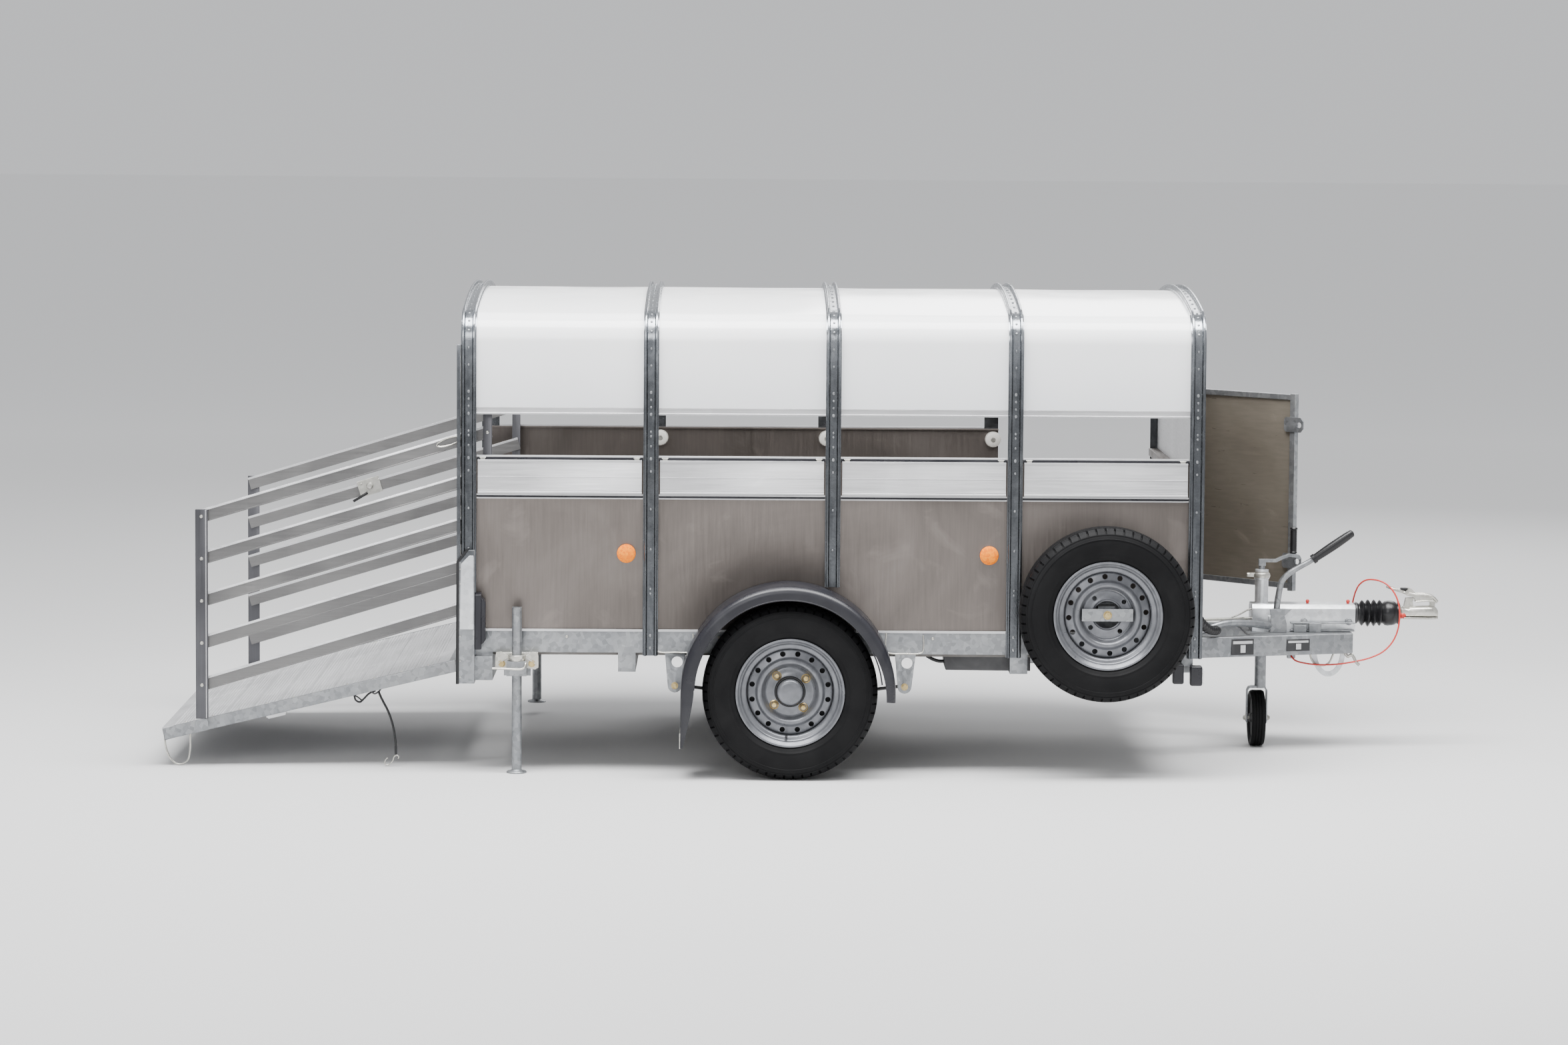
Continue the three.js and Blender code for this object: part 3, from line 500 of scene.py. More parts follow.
def soften(obj, bevel, angle):
    """Smooth shading that keeps sharp edges, or a rounded edge of bevel millimetres."""
    mesh = obj.data
    mesh.polygons.foreach_set("use_smooth", [True] * len(mesh.polygons))
    if bevel:
        rounded = obj.modifiers.new("edges", "BEVEL")
        rounded.width = bevel * MM
        rounded.segments = 2
        rounded.limit_method = "ANGLE"
        rounded.angle_limit = math.radians(angle)
        rounded.harden_normals = True
    else:
        mesh.set_sharp_from_angle(angle=math.radians(angle))


def dressed(obj, body, finish, replaces):
    obj.data.materials.clear()
    obj.data.materials.append(FINISH[finish].material)
    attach(obj, body)
    if replaces:
        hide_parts(*replaces)
    return obj


def new_object(name, mesh):
    obj = bpy.data.objects.new(name, mesh)
    bpy.context.scene.collection.objects.link(obj)
    return obj


def solid(name, shape):
    """The shape as an object in the frame's axes."""
    mesh = bpy.data.meshes.new(name)
    mesh.from_pydata([metres(p) for p in shape.points], [], shape.faces)
    settle(mesh)
    return new_object(name, mesh)


def make(name, shape, body, finish, bevel=0.0, angle=35, replaces=()):
    obj = solid(name, shape)
    soften(obj, bevel, angle)
    return dressed(obj, body, finish, replaces)


def on_side(name, side):
    """make() for one side's pieces, drawn on the left and mirrored for the right."""
    def add(part, shape, finish, bevel=0.0, angle=35, body="chassis", replaces=()):
        return make(f"{name}_{part}", shape.side(side), body, finish, bevel, angle, replaces)
    return add


def dress(node, finish, bevel=1.5, angle=30):
    """The CAD node's own shape, with flat faces whole again and its edges rounded."""
    cad = frame["nodes"][node]
    mesh = bpy.data.meshes.new(node + "_shell")
    work = bmesh.new()
    work.from_mesh(cad.data)
    bmesh.ops.remove_doubles(work, verts=work.verts, dist=SAME_POINT)
    flat = math.radians(0.6)
    bmesh.ops.dissolve_limit(work, angle_limit=flat, verts=work.verts, edges=work.edges)
    work.to_mesh(mesh)
    work.free()
    obj = new_object(node + "_shell", mesh)
    soften(obj, bevel, angle)
    return dressed(obj, cad["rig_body"], finish, [node])


def cut(obj, shape):
    """Takes shape out of obj's mesh for good."""
    cutter = solid("cutter", shape)
    hole = obj.modifiers.new("holes", "BOOLEAN")
    hole.operation, hole.solver, hole.object = "DIFFERENCE", "EXACT", cutter
    bpy.context.view_layer.update()
    result = bpy.data.meshes.new_from_object(obj.evaluated_get(bpy.context.evaluated_depsgraph_get()))
    obj.modifiers.clear()
    obj.data = result
    bpy.data.objects.remove(cutter)


HOOP_X = [-1240, -620, 0, 620, 1240]


# ---------- cords ----------
BREAKAWAY = [
    (1655, -71.4, 332), (1656, -79, 329), (1668, -87, 317), (1708, -92, 307), (1764, -94, 303),
    (1822, -94, 306), (1885, -90, 316), (1935, -84, 328), (1980, -76, 348), (2012, -70, 378),
    (2031, -66, 414), (2040, -62, 455), (2041, -58, 496), (2034, -52, 532), (2018, -42, 564),
    (1994, -26, 588), (1962, -4, 599), (1930, 20, 596), (1908, 42, 576), (1896, 58, 545), (1889, 68, 510),
    (1880, 74, 480), (1868, 76, 461), (1852, 75, 451), (1842, 70, 448), (1840, 61.4, 447),
]
STRAP_Y = -662
STRAP = [(x, STRAP_Y, z) for x, z in (
    (-1556, 262), (-1549, 244), (-1538, 222), (-1526, 199), (-1516, 175), (-1508, 149), (-1502, 122),
    (-1498, 94), (-1496, 66), (-1496, 42),
)]
HOOK = [(x, STRAP_Y, z) for x, z in (
    (-1489, 27), (-1486, 34), (-1493, 39), (-1502, 34), (-1506, 22), (-1515, 10), (-1526, 5), (-1534, 10),
    (-1532, 22), (-1524, 30),
)]


def cord(name, points, radius, steps, body, finish, node, **facts):
    path = smooth_path(points, steps)
    piece = make(name, tube(points, radius, steps, 12), body, finish, replaces=[node])


def add_cords():
    hook = make("strap_hook_wire", tube(HOOK, 2.4, 60, 12), "ramp", "zinc", replaces=["strap_hook"])
    cord("breakaway_cable_sheath", BREAKAWAY, 3, 180, "chassis", "red", "breakaway_cable",
         far_end="object", stiffness="medium", lay="hanging")
    cord("ramp_rubber_strap", STRAP, 4, 60, "ramp", "rubber", "rubber_strap",
         far_end="fitting", stiffness="limp", lay="hanging", with_pieces=[hook])


# ---------- hoops and roof ----------
HOOP_DEPTH, HOOP_OUT, CROWN_TOP, CORNER_R, CROWN_R = 21.7, 792, 1650, 120, 4157
HOOP_FOOT, SHORT_HOOP_FOOT = 403, 642  # the middle hoop stops above the mudguards
CROWN_Z = CROWN_TOP - CROWN_R
CORNER_Y = HOOP_OUT - CORNER_R
CORNER_Z = CROWN_Z + math.sqrt((CROWN_R - CORNER_R) ** 2 - CORNER_Y ** 2)
SHOULDER = math.atan2(CORNER_Z - CROWN_Z, CORNER_Y)


def over_body(inset, foot, corner_steps=14, crown_steps=24):
    """Stations (y, z, outward normal) over the body from the right foot to the left one."""
    def station(cy, cz, radius, angle):
        ny, nz = math.cos(angle), math.sin(angle)
        return cy + radius * ny, cz + radius * nz, ny, nz
    stations = [(-(HOOP_OUT - inset), foot, -1, 0)]
    for i in range(corner_steps + 1):
        angle = math.pi - SHOULDER * i / corner_steps
        stations.append(station(-CORNER_Y, CORNER_Z, CORNER_R - inset, angle))
    for i in range(1, crown_steps):
        angle = math.pi - SHOULDER - (math.pi - 2 * SHOULDER) * i / crown_steps
        stations.append(station(0, CROWN_Z, CROWN_R - inset, angle))
    for i in range(corner_steps + 1):
        stations.append(station(CORNER_Y, CORNER_Z, CORNER_R - inset, SHOULDER * (1 - i / corner_steps)))
    stations.append((HOOP_OUT - inset, foot, 1, 0))
    return stations


def over_body_skin(section, stations):
    """section is (x, height over the station line) pairs."""
    return skin([[(x, y + ny * h, z + nz * h) for x, h in section] for y, z, ny, nz in stations])


def hoop_section(x):
    """Two crimped ribs with a recessed web between them."""
    half = [(26, 0), (26, 5), (22.5, 6), (21.8, 19.5), (20.3, 21.4), (18, 21.7), (15.7, 21.4), (14.2, 19.5),
            (13.2, 10), (11.5, 8)]
    return [(x + u, v) for u, v in half] + [(x - u, v) for u, v in reversed(half)]


BIG_RIVETS = (429, 472, 1077, 1228, 1303)
RIVET_HEIGHTS = [429, 472, 616, 632, 768, 905, 1034, 1077, 1120, 1154, 1169, 1228, 1253, 1278, 1303, 1394,
                 1452]


def hoop_rivets(x, foot):
    """Domed heads up the web on both sides, and on over the crown."""
    heads = []
    web = HOOP_OUT - HOOP_DEPTH + 8
    for side in (-1, 1):
        for z in RIVET_HEIGHTS:
            if z > foot + 15:
                radius = 6.0 if z in BIG_RIVETS else 4.4
                heads.append(dome((x, side * web, z), "+Y" if side > 0 else "-Y", radius, 3.4))
    for y, z, ny, nz in over_body(HOOP_DEPTH - 8, foot, 4, 16)[2:-2]:
        head = dome((0, 0, 0), "+Z", 4.4, 3.0).turned(math.degrees(math.atan2(nz, ny)) - 90, "X")
        heads.append(head.moved(x, y, z))
    return total(heads)


def add_hoops():
    for i, x in enumerate(HOOP_X):
        foot = SHORT_HOOP_FOOT if x == 0 else HOOP_FOOT
        shape = over_body_skin(hoop_section(x), over_body(HOOP_DEPTH, foot))
        make(f"hoop_{i + 1}_channel", shape, "chassis", "hoop", angle=28, replaces=[f"hoop_{i + 1}"])
        make(f"hoop_{i + 1}_rivets", hoop_rivets(x, foot), "chassis", "galvanised")


ROOF_END, RAIL_LOW, RAIL_TOP = 1264, 1225, 1250.3


def add_roof():
    """Four white sheets that meet under the hoops, very slightly bowed between them."""
    stations = over_body(HOOP_DEPTH + 0.4, 1250.5, 18, 36)
    side = [(-(HOOP_OUT - HOOP_DEPTH - 0.4), z, -1, 0) for z in (1250.5, 1290, 1330, 1370, 1410, 1445)]
    stations = side + stations[1:-1] + [(-y, z, 1, 0) for y, z, _, _ in reversed(side)]
    edges = [-ROOF_END] + HOOP_X[1:-1] + [ROOF_END]
    for bay in range(4):
        x0, x1 = edges[bay] + (0 if bay == 0 else 0.4), edges[bay + 1] - (0 if bay == 3 else 0.4)
        columns = [x0 + (x1 - x0) * i / 20 for i in range(21)]

        def bow(x, y, z):
            middle = math.sin(math.pi * (x - x0) / (x1 - x0)) ** 0.5 if x0 < x < x1 else 0
            return middle * (1.6 * noise.noise(Vector((x / 260, y / 300, z / 240))) - 1.2)
        rings = []
        for y, z, ny, nz in stations:
            outer = [(x, bow(x, y, z)) for x in columns]
            section = outer + [(x, h - 3.5) for x, h in reversed(outer)]
            rings.append([(x, y + ny * h, z + nz * h) for x, h in section])
        make(f"roof_sheet_{bay + 1}", skin(rings), "chassis", "roof", angle=40, replaces=["roof_sheet"])
    trim = [(758, RAIL_LOW), (768, RAIL_LOW), (768, 1228), (769.6, 1228), (769.6, 1231), (767.4, 1232),
            (767.4, 1246), (769.6, 1247.5), (769.6, RAIL_TOP), (758, RAIL_TOP)]
    rails = total(skin([[(x, side * y, z) for y, z in trim] for x in (-ROOF_END, ROOF_END)])
                  for side in (-1, 1))
    front = skin([[(x, y, z) for x, z in [(1250, RAIL_LOW), (1263, RAIL_LOW), (1263, RAIL_TOP),
                                          (1250, RAIL_TOP)]] for y in (-757, 757)])
    make("roof_edge_rails", rails + front, "chassis", "bright", 0.4, 50, replaces=["roof_edge_rail"])


# ---------- body panels ----------
BAYS = {"right": 4, "left": 3}  # the left front bay is the side doorway
REFLECTOR_X = {"right": (-703, 535), "left": (-703, 520)}  # rear, front


def add_panels():
    for node in ("right_wall", "left_wall", "front_wall"):
        dress(node, "panel", 0.6)
    dress("floor_deck", "floor", 1)
    make("front_wall_liner", box(1239.2, 1239.8, -744, 744, 1013, 1222), "chassis", "bright")
    for name, side in SIDES:
        add = on_side(name, side)
        for bay in range(BAYS[name]):
            x0, x1 = HOOP_X[bay] + 27, HOOP_X[bay + 1] - 27
            # Black strips: the upper one, under the top cap, is the flaps' hinge strip and partly painted
            # shade of the gap there; the lower one, in the groove between the lower trims, is a painted
            # shadow line.
            strips = box(x0, x1, 766.5, 769.9, 1068, 1080) + box(x0, x1, 769.2, 770.4, 942, 950)
            add(f"hinge_strip_{bay + 1}", strips, "guard", 0.4)
            cap = (box(x0, x1, 750, 769.9, 1080.2, 1085.4) + box(x0, x1, 766.2, 771.6, 938.2, 942.4) +
                   box(x0, x1, 766.2, 771.6, 949.6, 954.4))
            add(f"panel_trim_{bay + 1}", cap, "bright", 0.4)
            flap = f"{name}_flap_{bay + 1}"
            dress(flap, "bright", 0.8)
            f0, f1 = x0 + 4, x1 - 4
            hems = (box(f0, f1, 775.8, 778.4, 1065.5, 1071.3) + box(f0, f1, 775.8, 779.6, 957.6, 961.4) +
                    box(f0, f1, 775.8, 777.2, 966, 968) + box(f0, f1, 775.8, 777, 1012, 1013.6))
            add(f"flap_hem_{bay + 1}", hems, "bright", 0.3, body=flap)
            pins = total(rod((x, 770.9, 1078.5), (x + 22, 770.9, 1078.5), 1.6, 12) +
                         box(x + 3, x + 19, 770.9, 771.9, 1069, 1079) for x in (f0 + 6, f1 - 28))
            add(f"flap_hinge_{bay + 1}", pins, "zinc", 0.3, body=flap)
    for name, side in SIDES:
        add = on_side(name, side)
        trim = total(box(HOOP_X[k] + 27, HOOP_X[k + 1] - 27, 770.2, 772, 484.5, 492.4)
                     for k in range(BAYS[name]))
        add("rail_trim", trim, "bright", 0.4)
        for label, x in zip(("rear", "front"), REFLECTOR_X[name]):
            disc = [(0, 766), (32, 766), (32, 769), (30.5, 771), (28, 771.6), (0, 771.6)]
            lens = [(0, 771), (28, 771), (28, 773.5), (25, 775.2), (0, 775.8)]
            add(f"{label}_reflector_rim", lathe(disc, (x, 0, 752), "Y", 48), "amber")
            add(f"{label}_reflector", lathe(lens, (x, 0, 752), "Y", 48), "amber")
    rollers = total(lathe([(9, 736), (9, 758), (30, 758), (30, 752), (27, 740), (20, 736), (9, 736)],
                          (x + 6, 0, 1040), "Y", 40).side(side) for x in HOOP_X[1:4] for _, side in SIDES)
    make("deck_rollers", rollers, "chassis", "nylon")
    pins = total(rod((x + 6, side * 733, 1040), (x + 6, side * 759, 1040), 8.5, 20, edge=1)
                 for x in HOOP_X[1:4] for _, side in SIDES)
    make("deck_roller_pins", pins, "chassis", "zinc")


# ---------- wheels ----------
WHEEL, SPARE = (-143, 882.5, 298), (930, -879.5, 566)  # the left road wheel and the spare


def tyre_profile():
    half = [(184, 60), (185, 64), (190, 68.5), (196, 72.3), (203, 75.4), (204, 76.6), (207, 77.6),
            (208.5, 77.2), (214, 78.8), (226, 81.2), (238, 82.4), (250, 82.2), (259, 80.8), (260, 82.0),
            (263, 81.8), (264, 80.2), (270, 78.2), (275, 75.8), (276, 76.8), (279, 75.6), (280, 73.6),
            (286, 69), (291, 62.5), (294.3, 55), (296.2, 44), (296.4, 41.8), (289.5, 40.6), (289.5, 35.6),
            (296.9, 34.4), (297.5, 17), (290, 15.8), (290, 11), (297.9, 9.8), (298, 0)]
    full = half + [(r, -y) for r, y in reversed(half[:-1])] + [(176, -58), (170, -50), (170, 50), (176, 58)]
    return full + [full[0]]


def tyre(centre):
    """Blocks round both shoulders, parted by narrow notches."""
    blocks, stops = 58, [0.0, 0.26, 0.52, 0.78, 0.81, 0.97]
    notch = 4  # the first stop inside the notch
    rings = []
    for block in range(blocks):
        for k, stop in enumerate(stops):
            angle = 2 * math.pi * (block + stop) / blocks
            ring = []
            for r, y in tyre_profile()[:-1]:
                deep = k >= notch and r > 279.5 and abs(y) > 43
                radius = r - (8 if deep else 0)
                ring.append((radius * math.cos(angle), y, radius * math.sin(angle)))
            rings.append([(x + centre[0], y + centre[1], z + centre[2]) for x, y, z in ring])
    return skin(rings, loop=True)


RIM_BARREL = [(183, 62.3), (171, 60.8), (168, 57), (166.6, 50), (166.6, -50), (168, -57), (171, -60.8),
              (183, -62.3), (185, -65), (184, -68), (180, -68.4), (176, -66), (170, -60), (163, -55),
              (162, -44), (151, -36), (147, -6), (147.5, 20), (148, 36), (149, 40), (151.5, 43.5),
              (156, 45.5), (161, 46.8), (164.5, 49), (166, 53), (167, 56.6), (170, 59.6), (174, 63),
              (177, 67), (179.5, 69.6), (182.5, 70.2), (185, 68.6), (185.2, 65.4), (183, 62.3)]
RIM_DISC = [(147.3, 14), (146, 21), (143.5, 24), (140, 25.2), (120, 29.4), (117, 31), (113, 36), (109, 39.6),
            (104.5, 41), (100, 40), (95.5, 36), (91.5, 29), (88.6, 23), (86, 19.6), (83, 18.2), (81, 19.4),
            (78, 19.8), (60, 17.6), (58, 19.4), (53, 19.6), (51, 17), (47, 16), (47, 11), (58, 11),
            (82, 13.4), (88, 16), (93, 25), (98, 34), (104.5, 36), (110, 34), (114, 28), (120, 24.4),
            (140, 20.4), (143, 18), (147.3, 8), (147.3, 14)]


def wheel_rim(name, centre, side, body, turn, spare):
    """Barrel and pressed disc with 16 vent holes and four wheel bolts (holes only, on the spare)."""
    def placed(shape):
        return shape.side(side).moved(*centre)
    replaced = [] if spare else [f"{name}_rim"]
    make(f"{name}_rim_barrel", placed(lathe(RIM_BARREL, steps=128)), body, "wheel", angle=50,
         replaces=replaced)
    disc = make(f"{name}_rim_disc", placed(lathe(RIM_DISC, steps=128)), body, "wheel", angle=50)
    vents = total(rod((0, 5, 131), (0, 45, 131), 9.2, 24).turned(11.25 + 22.5 * i + turn, "Y")
                  for i in range(16))
    if spare:
        vents = vents + total(
            rod((0, 0, 71), (0, 40, 71), 8.2, 24).turned(45 + 90 * i + turn, "Y") for i in range(4))
    cut(disc, placed(vents))
    disc.data.set_sharp_from_angle(angle=math.radians(50))
    if spare:
        return
    cap = lathe([(0, 57.5), (30, 57), (38, 55.2), (42.5, 51.5), (44.4, 46), (45, 38), (45, 16), (0, 16)],
                steps=64)
    seat = lathe([(45.5, 16), (45.5, 30), (47, 33), (50.5, 33), (52, 30), (52, 16), (45.5, 16)], steps=64)
    make(f"{name}_hub_cap", placed(cap), body, "wheel", angle=50)
    make(f"{name}_hub_ring", placed(seat), body, "rubber", angle=50)
    # Painted shade: a dark ring behind the vent holes so that they read dark, standing for the shade inside
    # the wheel.
    vent_shade_ring = lathe([(98, -16), (146, -16), (146, -13), (98, -13), (98, -16)], steps=72)
    make(f"{name}_vent_shadow_backing", placed(vent_shade_ring), body, "spring")
    drum = lathe([(0, -70), (92, -70), (97, -66), (100, -58), (100, -8), (96, -4), (60, -2), (60, 9), (0, 9)],
                 steps=72)
    make(f"{name}_brake_drum", placed(drum), body, "spring", angle=40)
    washer = [(12, 17), (16, 17), (16, 20.4), (14, 22), (12, 20.4), (12, 17)]
    nut = (rod((0, 15, 70), (0, 28, 70), 10.5, 24, 8.5) + rod((0, 26, 70), (0, 36, 70), 8.4, 6, edge=1.2) +
           lathe(washer, (0, 0, 70), "Y", 28))
    nuts = total(nut.turned(50 + 90 * i, "Y") for i in range(4))
    make(f"{name}_wheel_bolts", placed(nuts), body, "brass_zinc", angle=40)
    valve = rod((0, 34, -152), (0, 60, -152), 5, 16, 3.6, edge=0.8).turned(4.6, "Y")
    make(f"{name}_valve", placed(valve), body, "rubber", angle=40)


def add_wheels():
    for name, side in SIDES:
        centre = (WHEEL[0], side * WHEEL[1], WHEEL[2])
        make(f"{name}_road_tyre", tyre(centre), f"{name}_wheel", "tyre", angle=38, replaces=[f"{name}_tyre"])
        wheel_rim(name, centre, side, f"{name}_wheel", 0, False)
    make("spare_tyre", tyre(SPARE), "chassis", "tyre", angle=38, replaces=["spare_wheel"])
    wheel_rim("spare", SPARE, -1, "chassis", 7, True)
    x, y, z = SPARE
    bracket = plate([(x - 70, z - 66), (x + 70, z - 66), (x + 70, z + 66), (x - 70, z + 66)], -776, -767)
    stud = rod((x, -770, z), (x, y - 47, z), 10, 20, edge=1.5)
    post = box(x - 30, x + 30, y + 8, -770, z - 26, z + 26)
    make("spare_carrier_post", bracket + stud + post, "chassis", "galvanised", 1.2,
         replaces=["spare_carrier"])
    bar = [(-21, 0), (21, 0), (21, -10), (18, -10), (18, -3.5), (-18, -3.5), (-18, -10), (-21, -10)]
    clamp = skin([[(u, y - 38 - v, z + w) for w, v in bar] for u in (x - 87, x + 87)])
    make("spare_clamp_bar", clamp, "chassis", "galvanised", 1.2)
    make("spare_clamp_nut", bolt((x, y - 38.4, z), "-Y", 11, 12), "chassis", "brass_zinc", 0.6)


GUARD_X, GUARD_Z, GUARD_R, GUARD_IN, GUARD_OUT = -150, 298, 364, 771, 980


def guard_section(lip):
    """The sheet and its rounded, turned-down lip, as (y, depth under the sheet's top) pairs."""
    fillet = min(24, lip * 0.55)

    def bend(radius, degrees):
        return [(GUARD_OUT - fillet + radius * math.sin(a), fillet - radius * math.cos(a))
                for a in (math.radians(d) for d in degrees)]
    return [(GUARD_IN, 0), (GUARD_OUT - fillet, 0), *bend(fillet, (15, 30, 45, 60, 75)), (GUARD_OUT, fillet),
            (GUARD_OUT, lip - 3), (GUARD_OUT, lip), (GUARD_OUT - 5, lip), (GUARD_OUT - 5, lip - 4),
            (GUARD_OUT - 4, fillet + 3), *bend(fillet - 4, (60, 30)), (GUARD_OUT - fillet, 4), (GUARD_IN, 4)]


def guard_arc(radius, angle):
    return GUARD_X + radius * math.cos(angle), GUARD_Z + radius * math.sin(angle)


def add_mudguards():
    stations = []
    for i in range(61):
        angle = math.radians(-4.5) + math.radians(184.5) * i / 60
        stations.append((*guard_arc(GUARD_R, angle), math.cos(angle), math.sin(angle),
                         30 + 15 * min(1, i / 12)))
    for t in range(1, 13):
        fall = t / 12
        stations.append((GUARD_X - GUARD_R, GUARD_Z - 186 * fall, -1, 0, 45 - 37 * fall ** 1.3))
    shell = skin([[(x - nx * d, y, z - nz * d) for y, d in guard_section(lip)]
                  for x, z, nx, nz, lip in stations])
    bead = []
    for i in range(31):
        x, z = guard_arc(GUARD_R - 45, math.radians(6 + 172 * i / 30))
        bead.append((x, GUARD_OUT - 2, z))
    stays = []
    for degrees in (8, 90, 168):
        x, z = guard_arc(352, math.radians(degrees))
        stays.append(rod((x, 740, z), (x, 955, z), 7, 14))
    for name, side in SIDES:
        add = on_side(name, side)
        add("mudguard_shell", shell, "guard", angle=40, replaces=[f"{name}_mudguard"])
        add("mudguard_bead", tube(bead, 2.6, 90, 10), "guard")
        add("mudguard_stays", total(stays), "galvanised")
        add("mudflap_edge", box(-517, -513.5, 800, 965, 108, 160), "zinc", 0.5)


# ---------- chassis ----------
HANGER_X = (-536, 250)


def axle_clamp():
    """Four bolts between a plate over the axle and one under it."""
    bolts = total(rod((x, y, 236), (x, y, 336), 5.5, 14) + bolt((x, y, 244), "-Z", 9, 8)
                  for x in (-184, -102) for y in (706, 758))
    return bolts + box(-192, -94, 704, 760, 324, 332) + box(-196, -90, 700, 764, 243, 249)


def hanger_weld(x):
    path = [(-64, 484), (-66, 440), (-60, 418), (0, 414), (58, 418), (64, 440), (62, 478)]
    return tube([(x + u, 771, z) for u, z in path], 2.6, 36, 8)


def add_corner(add):
    """The rear corner: rubber edge, gusset, lamp guard and frame post."""
    strip = [(-1281, 306), (-1270.2, 306), (-1270.2, 722), (-1240, 764), (-1244, 769), (-1279, 727)]
    add("corner_rubber", plate(strip, 793, 818), "rubber", 1)
    gusset = [(-1268, 726), (-1236, 764), (-1219, 764), (-1219, 745), (-1262, 722)]
    add("corner_gusset", plate(gusset, 812, 816.4), "hoop", 0.8)
    guard = [(-1267, 494), (-1221, 494), (-1221, 746), (-1236, 746), (-1263, 718)]
    add("lamp_guard_face", plate(guard, 812, 818.5), "dipped", 1)
    rivets = total(dome((-1266, 817, z), "+Y", 2.6, 1.8) for z in (330, 385, 470, 560, 650, 700))
    add("corner_rivets", rivets, "zinc")
    add("rear_frame_post", box(-1279.5, -1267, 768, 789.5, 727, 1462), "hoop", 1)


def add_lamps(add):
    back = skin([[(x, y, z) for y, z in [(770.5, 424), (812, 424), (812, 612), (770.5, 617)]]
                 for x in (-1217, -1195)])
    face = skin([[(x, y, z) for y, z in [(774, 440 + i * 8), (808, 440 + i * 8), (808, 600 - i * 8),
                                         (774, 604 - i * 8)]]
                 for i, x in enumerate((-1196, -1186, -1181))])
    add("lamp_body", back + face, "guard", 2.5)
    add("tail_lens", box(-1281, -1271.4, 742, 810, 318, 356), "red_lens", 3)
    add("indicator_lens", box(-1281, -1271.4, 742, 810, 359, 397), "amber", 3)
    front = box(1224, 1266, 762, 806, 312, 380) + box(1166, 1204, 744, 790, 316, 384)
    add("front_lamp", front, "guard", 6)
    add("front_lens", box(1265, 1272, 766, 802, 319, 367), "white_lens", 2.5)
    add("front_lamp_arm", box(1196, 1236, 752, 764, 376, 414), "galvanised", 1)


def add_chassis():
    dress("chassis_frame", "galvanised", 1.6)
    dress("axle_beam", "galvanised", 3)
    for name, side in SIDES:
        dress(f"{name}_leaf_spring", "spring", 0.8)
        add = on_side(name, side)
        add("axle_clamp", axle_clamp(), "galvanised", 0.6)
        add("hanger_welds", total(hanger_weld(x) for x in HANGER_X), "zinc", angle=60)
        add("hanger_bolts", total(bolt((x, 768, 299), "+Y", 9, 8) for x in HANGER_X), "brass_zinc", 0.4)
        heads = total(dome((x, 770, 466), "+Y", 5.5, 3) for x in (-905, -385, 345, 905))
        add("rail_rivets", heads, "zinc")
        add_corner(add)
        add_lamps(add)
    tray = plate([(392, 352), (683, 350), (683, 404), (384, 404)], -716, -560)
    make("under_tray", tray, "chassis", "spring", 2)
    hose = tube([(330, -640, 392), (352, -640, 380), (372, -640, 374), (396, -640, 374)], 6, 24, 12)
    make("under_tray_hose", hose, "chassis", "rubber")


STAND_X, STAND_Y, LEFT_STAND_LIFT = -1074, 795, 39


def add_stands():
    for name, side in SIDES:
        add = on_side(name, side)
        foot_at = (STAND_X, STAND_Y, LEFT_STAND_LIFT if side > 0 else 0)
        leg = lathe([(17, 3), (17, 569), (13.8, 569), (13.8, 520), (0, 520), (0, 3)], foot_at, "Z", 40)
        foot = lathe([(0, 0), (33, 0), (34.5, 1.4), (34.5, 4), (32, 6.6), (21, 8.4), (17.5, 12), (0, 12)],
                     foot_at, "Z", 48)
        add("stand_leg", leg + foot, "galvanised", angle=40, body=f"{name}_stand",
            replaces=[f"{name}_prop_stand"])
        saddle = lathe([(17.8, 336), (24, 336), (27, 339), (27, 347), (23.5, 351), (23.5, 354), (26.5, 357),
                        (26.5, 387), (29, 392), (32, 400), (31, 405), (28, 406), (17.8, 396), (17.8, 336)],
                       (STAND_X, STAND_Y, 0), "Z", 48)
        wing = [(20, 366), (36, 360), (62, 355), (74, 362), (74, 400), (70, 414), (52, 416), (30, 402),
                (20, 400)]
        rib = [(24, 398), (64, 372), (66, 376), (26, 404)]
        wings = total(plate([(STAND_X + s * u, z) for u, z in wing], 788, 795) for s in (-1, 1))
        ribs = total(plate([(STAND_X + s * u, z) for u, z in rib], 795, 801) for s in (-1, 1))
        backing = box(-1146, -1002, 770.5, 790, 398, 413)
        add("stand_clamp", saddle + wings + ribs + backing, "zinc", 1.4, 40)
        bolts = total(bolt((STAND_X + s * 51, STAND_Y, 375), "+Y", 9, 8) for s in (-1, 1))
        add("stand_bolts", bolts, "brass_zinc", 0.5)
        handle = [(-1156, 828, 362), (-1110, 829, 361), (-1058, 829, 360), (-1047, 828, 366),
                  (-1043, 822, 378), (-1043, 806, 384)]
        add("stand_handle", tube(handle, 3.6, 40, 12), "zinc")


# ---------- ramp and gates ----------
RAMP_PIVOT, RAMP_TILT = (-1290, 0, 372), 13.6


def on_ramp(shape):
    """Places a shape drawn on a level ramp whose top front edge is at the origin."""
    return shape.turned(-RAMP_TILT, "Y").moved(*RAMP_PIVOT)


